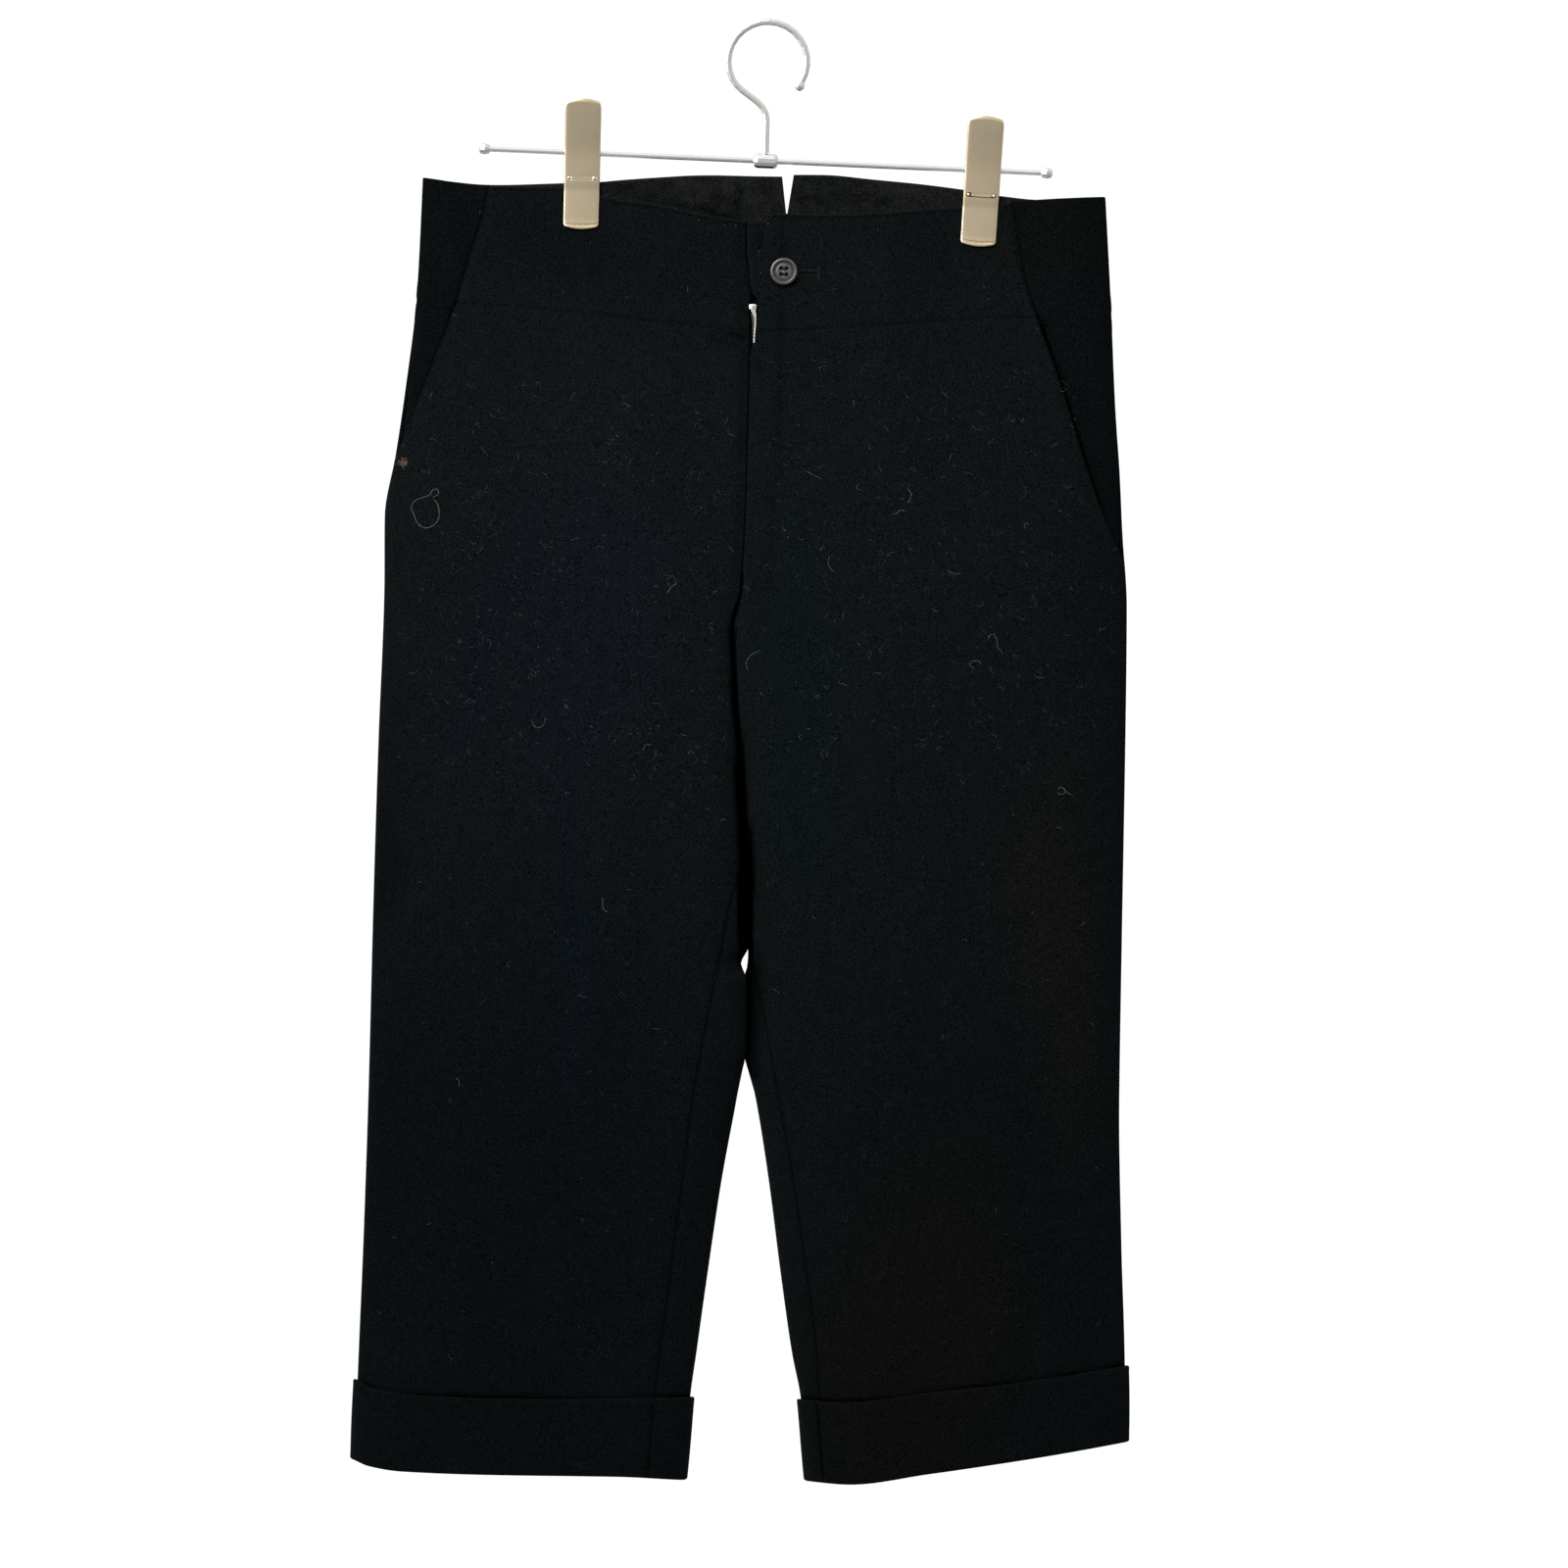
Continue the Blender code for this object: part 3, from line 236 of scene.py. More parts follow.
# Edges that run across the front and the back, by distance from the centre plane.
WAIST_TOP = {
    RIGHT: Table("x front back", (-30, -108.6, -82.7), (9.7, -108.6, -83.1), (24.3, -106.9, -83.0),
                 (39.9, -104.3, -83.4), (52, -101.7, -84.3), (63.9, -99.6, -85.4), (79.6, -98.0, -87.0),
                 (92, -95.4, -88.4),
                 (111, -91.6, -89.4), (151.6, -92.0, -91.0), (189, -88.0, -88.0)),
    LEFT: Table("x front back", (-9.6, -108.9, -82.4), (-3, -108.9, -82.4), (1.2, -108.5, -82.3),
                (3.4, -104.8, -82.2), (7, -104.0, -82.1), (32.9, -104.0, -81.6), (58.7, -102.7, -83.5),
                (80.3, -100.6, -85.2), (107.8, -97.9, -88.2),
                (131.5, -95.2, -91.6), (149.8, -93.2, -93.0), (187, -90.8, -90.8)),
}
BAND_SEAM = Table("x front back", (0, -169.3, -146.0), (40, -166.4, -147.0), (80, -162.9, -149.5),
                  (110, -160.2, -152.0), (150, -157.6, -154.5), (190, -156.0, -156.0))
NOTCH_HALF = 3.2
NOTCH_TOP_Z = -82.0
NOTCH_POINT_Z = -105.3

# The fly: how far the lap's edge opens round the slider, where the edge under it lies, and the zip.
FLY = Table(
    "z lap_open under zip",
    (-100, 0, 1.0, -5.0), (-145.5, 0, 1.0, -5.0), (-149, 1.2, 1.2, -5.0), (-151.5, 3.1, 1.0, -5.0),
    (-153.5, 3.6, 0.2, -5.0), (-155, 3.6, -0.3, -5.0), (-158, 3.6, -0.3, -5.0), (-161, 3.6, 0.0, -4.9),
    (-164, 3.4, 0.9, -4.8), (-168, 2.4, 1.0, -4.4), (-176, 1.1, 1.0, -3.3), (-184, 0, 1.0, -2.3),
    (-240, 0, 1.0, -2.4), (-300, 0, 1.0, -4.0), (-311, 0, 0.0, -4.4), (-330, 0, 0.0, -4.4))

# Cuff and hem lines of each leg, by share of the leg's width from its inner edge.
HEM = {
    RIGHT: Table("share cuff hem", (0, -756.5, -802.4), (0.2, -757.8, -801.0), (0.6, -759.2, -801.4),
                 (0.85, -758.0, -800.6), (0.95, -755.0, -798.3), (1, -750.5, -794.8)),
    LEFT: Table("share cuff hem", (0, -756.5, -801.6), (0.12, -757.4, -802.7), (0.38, -751.6, -796.0),
                (0.7, -743.8, -786.5), (1, -734.2, -776.4)),
}
HEM_MIDDLE_Z = -795.0
PANEL_FOOT_Z = HEM_MIDDLE_Z + CUFF_ROLL + SEAM_GAP

# How far down the rows still bend with the band seam, and from how far up with the hem.
TOP_BEND = 70.0
HEM_BEND = 105.0

# Soft folds: ends on the front view, half width and height. A trough has a height below 0. The
# solids have the first group; the second holds the finer creases.
FOLDS = [
    # side, front, x and z at the top, x and z at the bottom, half width, height
    (RIGHT, True, -96, -140, -66, -255, 20, 1.8),
    (RIGHT, True, -112, -142, -150, -250, 22, -1.5),
    (RIGHT, True, -60, -330, -84, -560, 30, 2.0),
    (RIGHT, True, -30, -520, -70, -640, 18, -1.4),
    (RIGHT, True, -118, -560, -122, -745, 34, 1.6),
    (LEFT, True, 114, -150, 78, -262, 22, 1.7),
    (LEFT, True, 128, -150, 158, -255, 18, -1.6),
    (LEFT, True, 66, -330, 96, -590, 32, 1.9),
    (LEFT, True, 26, -530, 62, -650, 18, -1.5),
    (LEFT, True, 140, -540, 132, -735, 34, 1.5),
    (RIGHT, False, -98, -140, -60, -300, 24, 1.8),
    (RIGHT, False, -20, -400, -84, -480, 20, -1.6),
    (RIGHT, False, -100, -520, -118, -740, 34, 1.8),
    (LEFT, False, 116, -140, 82, -290, 24, 1.6),
    (LEFT, False, 24, -410, 92, -500, 20, -1.5),
    (LEFT, False, 110, -520, 124, -735, 34, 1.7),
]
CREASES = [
    # The step over the zip's facing, and the small creases round the fly
    (LEFT, True, 13, -190, 9, -325, 3.4, -0.55),
    (LEFT, True, 19, -180, 16, -330, 5.0, 0.35),
    (LEFT, True, -1.5, -117, -2.5, -128, 1.7, -0.7),
    (LEFT, True, 3.0, -108, 2.0, -150, 2.0, 0.35),
    (RIGHT, True, -26, -171, -10, -174.5, 2.4, -0.8),
    (RIGHT, True, -40, -176, -14, -181, 4.0, 0.4),
    # Soft drags down from the fork and across the thighs
    (RIGHT, True, -22, -355, -56, -420, 10, -0.6),
    (RIGHT, True, -36, -470, -52, -590, 12, 0.7),
    (LEFT, True, 10, -350, 34, -430, 10, -0.55),
    (LEFT, True, 26, -480, 46, -620, 12, 0.7),
    (RIGHT, True, -150, -330, -160, -520, 16, -0.7),
    (LEFT, True, 150, -340, 166, -540, 16, -0.6),
    (RIGHT, True, -90, -640, -84, -748, 12, -0.5),
    (LEFT, True, 104, -640, 96, -735, 12, -0.5),
    (RIGHT, False, -24, -420, -60, -560, 12, 0.8),
    (LEFT, False, 28, -420, 64, -580, 12, 0.8),
    (RIGHT, False, -40, -200, -60, -330, 12, -0.6),
    (LEFT, False, 46, -190, 66, -340, 12, -0.6),
    (RIGHT, False, -30, -470, -110, -500, 9, 0.6),
    (LEFT, False, 34, -470, 112, -505, 9, 0.6),
    (RIGHT, False, -150, -560, -146, -720, 14, -0.6),
    (LEFT, False, 150, -540, 158, -720, 14, -0.6),
]

# Slow unevenness of hung cloth: amplitude, and waves a metre across and down.
UNEVEN = [(0.22, 9.0, 3.1), (0.16, -14.0, 5.3), (0.10, 23.0, -9.7), (0.07, -37.0, 18.0)]

# Painted shade in creases and along steps in the cloth on the fronts: lines darker than the cloth beside
# them.
CREASE_PAINTED_SHADES = [
    # side, x and z at one end, x and z at the other, half width, strength
    (LEFT, 10.5, -112, 10.0, -240, 2.4, 0.26),
    (LEFT, 10.0, -240, 6.0, -330, 3.0, 0.16),
    (RIGHT, -20, -170, -9, -173, 1.6, 0.55),
    (RIGHT, -30, -173, -12, -177, 3.0, 0.25),
    (LEFT, -1.6, -114, -2.4, -126, 1.3, 0.6),
    (LEFT, 2.0, -305, -4.0, -312, 1.0, 0.3),
    (LEFT, -4.0, -150, -5.5, -160, 1.4, 0.45),
]

# Painted shade of the folds, and of the front's top edge, on the inside of the back waistband, laid out the
# same way; a strength below 0 is a paler line of painted light.
INSIDE_PAINTED_SHADES = [
    # x and z at one end, x and z at the other, half width, strength
    (-68, -98, -34, -102, 2.6, 0.40), (-36, -102, -12, -107, 3.0, 0.62), (-28, -95, -15, -98, 1.8, 0.5),
    (-13, -88, -16, -103, 1.3, 0.45), (-10, -84, -9, -97, 1.8, -0.22), (-22, -86, -17, -92, 3.0, -0.16),
    (14, -92, 34, -97, 2.2, 0.42), (34, -92, 70, -96, 2.4, 0.35), (-96, -90, -60, -95, 3.0, 0.3),
    (60, -88, 90, -90, 2.0, -0.14), (5, -98, 9, -104, 1.6, 0.35), (-50, -88, -30, -90, 2.4, -0.14),
]


# Painted shade along seams, in their ditches and beside edges and folds, with the painted shadow under the
# cuff's top, and painted highlights where the light catches rolled edges: how dark or pale the line along
# each one is, and how wide.
SEAM_SHADES = {
    "inseam": (0.38, 0.9), "inseam_strip": (0.4, 0.9), "side": (0.35, 1.1), "centre_back": (0.5, 1.1),
    "front_top": (0.12, 0.9), "back_top": (0.15, 1.1), "slant": (0.42, 0.9), "beside_band": (0.4, 0.9),
    "front_band_foot": (0.16, 0.8), "front_band_fold": (0.38, 0.5), "front_band_top_highlight": (0.24, 0.5),
    "lap_edge_highlight": (0.07, 0.6), "back_band_side": (0.4, 1.1), "back_band_foot": (0.4, 1.0),
    "back_band_top_highlight": (0.30, 0.9), "cuff_top_shadow": (0.75, 0.9), "cuff_inseam": (0.75, 0.75),
    "cuff_side": (0.4, 1.1),
}

# Pressed seams: depth of the ditch, and height of the soft ridge that the allowance makes beside it.
INSEAM_PRESS = (0.8, 0.28)
SIDE_PRESS = (0.6, 0.28)
FRONT_TOP_PRESS = (0.3, 0.15)
BACK_TOP_PRESS = (0.4, 0.2)
BACK_BAND_PRESS = (0.7, 0.35)


def smooth_step(t):
    t = np.clip(t, 0.0, 1.0)
    return t * t * (3.0 - 2.0 * t)


def bell(distance, width):
    """1 on a line, and falling softly to nothing within about two widths of it."""
    return np.exp(-(distance / width) ** 2)


def quarter_round(t):
    """Height of a quarter ellipse at a share of its run."""
    return np.sqrt(np.maximum(0.0, 1.0 - (1.0 - np.minimum(t, 1.0)) ** 2))


def inner_x(side, front, z):
    """The edge of a half that meets the other half, or the leg's inner edge below the crotch."""
    centre = np.where(front, CENTRE("front", z), CENTRE("back", z)) + side * SEAM_GAP / 2
    return np.where(z < CROTCH_Z, INNER(SIDE_NAMES[side], z), centre)


def outer_x(side, z):
    return side * OUTLINE(SIDE_NAMES[side], z)


def on_line(x, z, line, half, past, fade):
    """Nearness to a straight line on the front view: 1 on it, 0 well beside it or past its ends."""
    x0, z0, x1, z1 = line
    length = math.hypot(x1 - x0, z1 - z0)
    along = ((x - x0) * (x1 - x0) + (z - z0) * (z1 - z0)) / length ** 2
    across = ((x - x0) * (z1 - z0) - (z - z0) * (x1 - x0)) / length
    ends = smooth_step((along + past) / fade) * smooth_step((1.0 + past - along) / fade)
    return ends * bell(across, half)


def fold_height(side, front, x, z):
    """Height of the soft folds and creases at a place on the front view."""
    total = 0.0
    for of_side, of_front, *line, half, height in FOLDS + CREASES:
        if of_side == side:
            fold = height * on_line(x, z, line, half, 0.25, 0.4)
            total = total + np.where(front == of_front, fold, 0.0)
    for height, across, down in UNEVEN:
        shift = side * 1.3 + np.where(front, 0.0, 2.1)
        total = total + height * np.sin(2 * math.pi * (across * x + down * z) * MM + shift)
    return total


def seam_shade(seam, distance):
    """Painted shade along a seam or an edge, or the strength of a painted highlight where it is taken away.
    """
    strength, width = SEAM_SHADES[seam]
    return strength * bell(distance, width)


def line_shade(side, x, z):
    """Painted shade of the creases and steps at a place on the front view."""
    total = np.zeros(np.shape(x + z))
    for of_side, *line, half, strength in CREASE_PAINTED_SHADES:
        if of_side == side:
            total = np.maximum(total, strength * on_line(x, z, line, half, 0.1, 0.2))
    return total


def inside_shade(x, z):
    """Painted shade of the folds on the inside of the back waistband, and painted light where it is below 0.
    """
    return sum(strength * on_line(x, z, line, half, 0.2, 0.4) for *line, half, strength in INSIDE_PAINTED_SHADES)


def cuff_shade(side, around, z):
    """The painted shadow that the cuff's top edge casts on the leg, and painted shade on the leg behind the
    cuff.
    """
    above = z - hem_z(side, around, "cuff")
    shadow = seam_shade("cuff_top_shadow", above) + 0.28 * np.exp(-np.abs(above) / 2.6)
    return np.where(above > -1.0, shadow, 0.6)


def hollow_shade(side, x, z):
    """Painted black shade in the hollow between the legs above the crotch, and its painted shadow on the left
    leg below it.
    """
    reach = HOLLOW(SIDE_NAMES[side], z)
    beyond = side * (x - inner_x(side, True, z)) - reach
    black = HOLLOW_DARK * (1.0 - smooth_step(beyond / HOLLOW_SOFT))
    shadow = HOLLOW_SHADOW_DARK * smooth_step((HOLLOW_SHADOW_TOP_Z - z) / HOLLOW_SHADOW_FADE)
    shadow = shadow * (1.0 - smooth_step(beyond / HOLLOW_SHADOW)) * (side == LEFT)
    return np.where(reach > 0.05, np.maximum(black, shadow), 0.0)


def joined(*shades):
    """Darkness of several shades laid over each other."""
    light = 1.0
    for shade in shades:
        light = light * (1.0 - shade)
    return 1.0 - light


def cloth_depth(side, front, x, z):
    """Distance of the cloth's outer face from the middle plane."""
    front = np.asarray(front)

    def face(front_name, back_name, table):
        return np.where(front, table(front_name, z), table(back_name, z))

    edge = inner_x(side, front, z)
    width = np.abs(outer_x(side, z) - edge)
    from_inner = np.clip(side * (x - edge), 0.0, width)
    share = from_inner / width
    side_depth = face("front_side", "back_side", DEPTH)
    bow = np.cos(share * math.pi / 2) ** 2
    depth = side_depth + (face("front_mid", "back_mid", DEPTH) - side_depth) * bow
    from_clip = np.abs(x - CLIP_X[side])
    pinch = DEPTH("pinch", z) * smooth_step((PINCH_REACH - from_clip) / PINCH_FADE)
    depth = depth + fold_height(side, front, x, z) * (1.0 - pinch)
    depth = depth * (1.0 - pinch) + PINCHED_DEPTH * pinch
    run = face("front_run", "back_run", VALLEY)
    draw = face("front", "back", VALLEY) * (1.0 - quarter_round(from_inner / run))
    return depth * quarter_round((width - from_inner) / DEPTH("run", z)) * (1.0 - draw)


def stack(x, y, z):
    return np.stack(np.broadcast_arrays(x, y, z), axis=-1).astype(float)


def cloth_point(side, around, z):
    """Outer face. around is 0 at the front's inner edge, 1 at the side fold, 2 at the back's inner edge."""
    around = np.where(z <= CROTCH_Z, np.mod(around, 2.0), np.clip(around, 0.0, 2.0))
    front = around <= 1.0
    edge = inner_x(side, front, z)
    share = np.sin(math.pi * around / 2) ** 2
    x = edge + (outer_x(side, z) - edge) * share
    depth = cloth_depth(side, front, x, z)
    touch = np.where(z < CROTCH_Z, TOUCH("in_front", z), 0.0) * bell(x - edge, TOUCH_RUN)
    y = np.where(front, -depth, depth) + side * TOUCH_DEPTH * touch
    return stack(x - side * TOUCH_ACROSS * touch, y, z)


def cloth_normal(side, around, z):
    """Unit vector out of the cloth."""
    around, z = np.broadcast_arrays(np.asarray(around, float), np.asarray(z, float))
    open_top = z > CROTCH_Z
    at_centre = open_top & ((around < 0.01) | (around > 1.99))
    step = np.where(at_centre, 0.035, 0.01)
    low = np.where(open_top, np.maximum(around - step, 0.0), around - step)
    high = np.where(open_top, np.minimum(around + step, 2.0), around + step)
    across = cloth_point(side, high, z) - cloth_point(side, low, z)
    down = cloth_point(side, around, z - 1.0) - cloth_point(side, around, z + 1.0)
    down[..., 0] = np.where(at_centre, 0.0, down[..., 0])
    normal = np.cross(down, across) * side
    return normal / np.maximum(np.linalg.norm(normal, axis=-1, keepdims=True), 1e-9)


def around_at(side, front, x, z):
    """The place around the tube of a point seen at x on the front or the back."""
    edge = inner_x(side, front, z)
    share = (x - edge) / (outer_x(side, z) - edge)
    around = 2 / math.pi * np.arcsin(np.sqrt(np.clip(share, 0.0, 1.0)))
    return np.where(front, around, 2.0 - around)


def settle(side, around, z_of_x):
    """The height where a point around the tube meets a line given as a height for each x."""
    z = np.full(np.shape(around), -150.0)
    for _ in range(5):
        z = z_of_x(cloth_point(side, around, z)[..., 0])
    return z


def front_seam_z(x):
    return BAND_SEAM("front", np.abs(x))


def back_seam_z(x):
    return BAND_SEAM("back", np.abs(x))


def hem_z(side, around, line="hem"):
    return HEM[side](line, np.sin(math.pi * around / 2) ** 2)


def bent_row_z(side, seam_z):
    """Rows of a leg piece: level in the middle, bent to the band seam above and to the hem below."""
    def row_z(around, level):
        top = settle(side, around, seam_z)
        z = level + (top - BAND_JUNCTION_Z) * (1.0 - smooth_step((BAND_JUNCTION_Z - level) / TOP_BEND))
        bend = smooth_step((HEM_MIDDLE_Z + HEM_BEND - level) / HEM_BEND)
        return z + (hem_z(side, around) - HEM_MIDDLE_Z) * bend
    return row_z


def under_rise(side, x, z):
    """The right half steps back under the fly's lap."""
    if side != RIGHT:
        return np.zeros(np.shape(x))
    from_lap = CENTRE("front", z) - x
    fade = smooth_step((z - FLY_END_Z + FLY_CLOSES_BELOW) / FLY_CLOSES_OVER)
    return -UNDER_DROP * fade * (1.0 - smooth_step((from_lap - 1.5) / UNDER_FADE))


def kept(around):
    """The limit of a piece that stays at one place around the tube."""
    return lambda z: np.full(np.shape(z), around)


def unshifted(limit):
    """A limit as a piece's start, with no shift beyond the centre."""
    return lambda z: (limit(z), np.zeros(np.shape(z)))


def front_inner_limit(side, z):
    """Inner edge of a front piece: its place around the tube and a shift beyond the centre."""
    z = np.asarray(z, float)
    at_seam = around_at(side, True, side * (INSEAM(SIDE_NAMES[side], z) + SEAM_GAP / 2), z)
    if side == LEFT:
        at_fly = around_at(side, True, inner_x(side, True, z) + FLY("lap_open", z), z)
        shift = np.zeros(z.shape)
    else:
        under = FLY("under", z)
        at_fly = around_at(side, True, inner_x(side, True, z) + np.minimum(under, 0.0), z)
        shift = np.where(z < FORK_Z, 0.0, np.maximum(under, 0.0))
    return np.where(z < FORK_Z, at_seam, at_fly), shift


def front_outer_limit(side, z):
    """Outer edge of a front piece: the slanted line, then the side fold."""
    z = np.asarray(z, float)
    x = side * (SLANT(SIDE_NAMES[side], z) - SEAM_GAP / 2)
    at_slant = np.minimum(around_at(side, True, x, z), 1.0 + SIDE_SEAM_LAP)
    return np.where(z <= POCKET_END[side], 1.0 + SIDE_SEAM_LAP, at_slant)


# Distances from an edge at which a grid has its first lines, so that rolls and ditches come out round.
EDGE_LINES = [0.0, 0.12, 0.35, 0.7, 1.1, 1.7, 2.6, 4.0, 6.0, 8.5]
SAMPLES = 240


def levels(top, bottom, step, top_lines=EDGE_LINES, bottom_lines=EDGE_LINES):
    """Heights from top to bottom, crowded at both ends."""
    upper = [top - line for line in top_lines]
    lower = [bottom + line for line in reversed(bottom_lines)]
    count = max(2, round((upper[-1] - lower[0]) / step))
    middle = np.linspace(upper[-1], lower[0], count + 1)[1:-1]
    return np.concatenate([upper, middle, lower])


class Grid:
    """Places on the cloth in rows and columns, with each one's distance from the four edges."""

    def __init__(self, side, rows, row_z, start_of, end_of, columns, lines=EDGE_LINES):
        rows = np.asarray(rows, float)
        z_start = rows.copy()
        z_end = rows.copy()
        for _ in range(5):
            start, shift = start_of(z_start)
            end = end_of(z_end)
            z_start = row_z(start, rows)
            z_end = row_z(end, rows)
        t = np.linspace(0.0, 1.0, SAMPLES)
        around = start[:, None] + (end - start)[:, None] * t
        z = row_z(around, rows[:, None])
        path = cloth_point(side, around, z)
        length = np.linalg.norm(np.diff(path, axis=1), axis=-1)
        run = np.concatenate([np.zeros((len(rows), 1)), np.cumsum(length, axis=1)], axis=1)
        near = np.asarray(lines)
        count = columns - 2 * len(lines)
        self.around = np.zeros((len(rows), columns))
        self.run = np.zeros((len(rows), columns))
        for i, row_run in enumerate(run):
            total = row_run[-1]
            squeeze = min(1.0, 0.45 * total / near[-1])
            first, last = near[-1] * squeeze, total - near[-1] * squeeze
            inside = np.linspace(first, last, count + 2)[1:-1]
            places = np.concatenate([near * squeeze, inside, total - near[::-1] * squeeze])
            self.around[i] = np.interp(places, row_run, around[i])
            self.run[i] = places
        self.side = side
        self.z = row_z(self.around, rows[:, None])
        self.x = cloth_point(side, self.around, self.z)[..., 0]
        self.shift = shift
        self.from_start = self.run
        self.from_end = run[:, -1:] - self.run
        drop = np.abs(np.diff(self.z, axis=0))
        self.from_top = np.concatenate([np.zeros((1, columns)), np.cumsum(drop, axis=0)])
        self.from_bottom = self.from_top[-1] - self.from_top


class Shell:
    """A cloth wall made of grids that may share points, with rims along every free edge."""

    def __init__(self, wall):
        self.wall = wall
        self.outer = []
        self.inner = []
        self.cloth = []
        self.shade = []
        self.inside = []
        self.count = 0
        self.quads = []

    def add(self, outer, inner, cloth, shade=0.0, inside=0.0):
        """Adds points in rows and columns and returns their numbers, in rows and columns too."""
        shape = outer.shape[:-1]
        numbers = np.arange(self.count, self.count + outer[..., 0].size).reshape(shape)
        self.count += numbers.size
        self.outer.append(outer.reshape(-1, 3))
        self.inner.append(inner.reshape(-1, 3))
        self.cloth.append(cloth.reshape(-1, 2))
        self.shade.append(np.broadcast_to(shade, shape).reshape(-1))
        self.inside.append(np.broadcast_to(inside, shape).reshape(-1))
        return numbers

    def join(self, numbers):
        """Faces between neighbouring rows and columns of points."""
        a, b = numbers[1:, :-1], numbers[1:, 1:]
        c, d = numbers[:-1, 1:], numbers[:-1, :-1]
        self.quads.append(np.stack([a, b, c, d], axis=-1).reshape(-1, 4))

    def build(self, name, material, facing=None):
        outer = np.concatenate(self.outer) * MM
        inner = np.concatenate(self.inner) * MM
        cloth = np.concatenate(self.cloth) * MM
        quads = np.concatenate(self.quads)
        edges = {}
        for quad in quads.tolist():
            corners = [v for k, v in enumerate(quad) if v != quad[k - 1]]
            for a, b in zip(corners, corners[1:] + corners[:1]):
                key = (a, b) if a < b else (b, a)
                edges[key] = None if key in edges else (a, b)
        rims = [pair for pair in edges.values() if pair]
        faces = []
        for quad in quads.tolist():
            corners = [v for k, v in enumerate(quad) if v != quad[k - 1]]
            faces.append(corners)
            faces.append([v + self.count for v in reversed(corners)])
        inner_faces = range(1, len(faces), 2)
        faces += [[b, a, a + self.count, b + self.count] for a, b in rims]
        data = bpy.data.meshes.new(name)
        data.from_pydata(np.concatenate([outer, inner]).tolist(), [], faces)
        lay_out(data, np.concatenate([cloth, cloth]))
        darken(data, np.concatenate(self.shade + self.inside))
        item = finish(name, data, material)
        if facing:
            data.materials.append(facing)
            for i in inner_faces:
                data.polygons[i].material_index = 1
        return item


def lay_out(data, places):
    """Flat cloth coordinates in metres, for the weave."""
    layer = data.uv_layers.new(name="cloth")
    corner_points = np.zeros(len(data.loops), int)
    data.loops.foreach_get("vertex_index", corner_points)
    layer.data.foreach_set("uv", places[corner_points].reshape(-1))


def darken(data, shade):
    """Painted shade at each point, from 0 to 1, or a painted highlight where it is below 0."""
    layer = data.attributes.new("shade", "FLOAT", "POINT")
    layer.data.foreach_set("value", shade)


def add_object(name, data):
    item = bpy.data.objects.new(name, data)
    bpy.context.scene.collection.objects.link(item)
    return item


def ring_faces(rows, columns, closed=False):
    """Faces between neighbouring rings, and from the last one back to the first where they close."""
    faces = []
    for i in range(rows if closed else rows - 1):
        for j in range(columns):
            k, m = (i + 1) % rows, (j + 1) % columns
            faces.append([i * columns + j, i * columns + m, k * columns + m, k * columns + j])
    return faces


def arc(x, z, radius, degrees):
    """Places on a circle round a middle, at the given angles."""
    return [(x + radius * math.cos(a), z + radius * math.sin(a)) for a in np.radians(degrees)]


def circle(x, z, radius, sides):
    return arc(x, z, radius, np.arange(sides) * 360.0 / sides)


def finish(name, data, material, smooth_angle=50.0):
    """A mesh as a named, smooth-shaded piece with outward faces."""
    mesh = bmesh.new()
    mesh.from_mesh(data)
    bmesh.ops.recalc_face_normals(mesh, faces=mesh.faces)
    mesh.to_mesh(data)
    mesh.free()
    data.shade_smooth()
    data.set_sharp_from_angle(angle=math.radians(smooth_angle))
    item = add_object(name, data)
    data.materials.append(material)
    return item


def fold_roll(distance, wall):
    """How far the face sinks towards a folded edge, as half a circle one wall thick."""
    radius = wall / 2
    near = np.minimum(distance, radius)
    return radius - np.sqrt(np.maximum(radius ** 2 - (radius - near) ** 2, 0.0))


def seam_rise(distance, depth, ridge):
    """A pressed seam: a narrow ditch and beside it the soft ridge of the allowance underneath."""
    bank = smooth_step((distance - 0.8) / 2.2) * (1.0 - smooth_step((distance - 7.0) / 6.0))
    return -depth * bell(distance, 0.75) + ridge * bank


def lay(grid, wall, outer_rise, inner_rise=0.0, shifted=None, sunk=0.0):
    """Outer points, inner points and flat cloth coordinates of a grid, moved out by the given rises."""
    shape = grid.run.shape
    normal = cloth_normal(grid.side, grid.around, grid.z)
    place = cloth_point(grid.side, grid.around, grid.z) + normal * np.broadcast_to(sunk, shape)[..., None]
    if shifted is not None:
        place[..., 0] += shifted
    outer = place + normal * outer_rise[..., None]
    inner = place + normal * np.broadcast_to(inner_rise - wall, shape)[..., None]
    return outer, inner, np.stack([grid.run, grid.z], axis=-1)


def edge_shift(grid):
    """The sideways shift of the first columns beyond the centre, faded out over a few millimetres."""
    return grid.shift[:, None] * bell(grid.from_start, 1.2)


def lap_shadow(grid, reach, soft, dark):
    """The painted shadow that the lap's edge casts on the right half."""
    return dark * (1.0 - smooth_step((grid.from_start - reach) / soft)) * (grid.side == RIGHT)


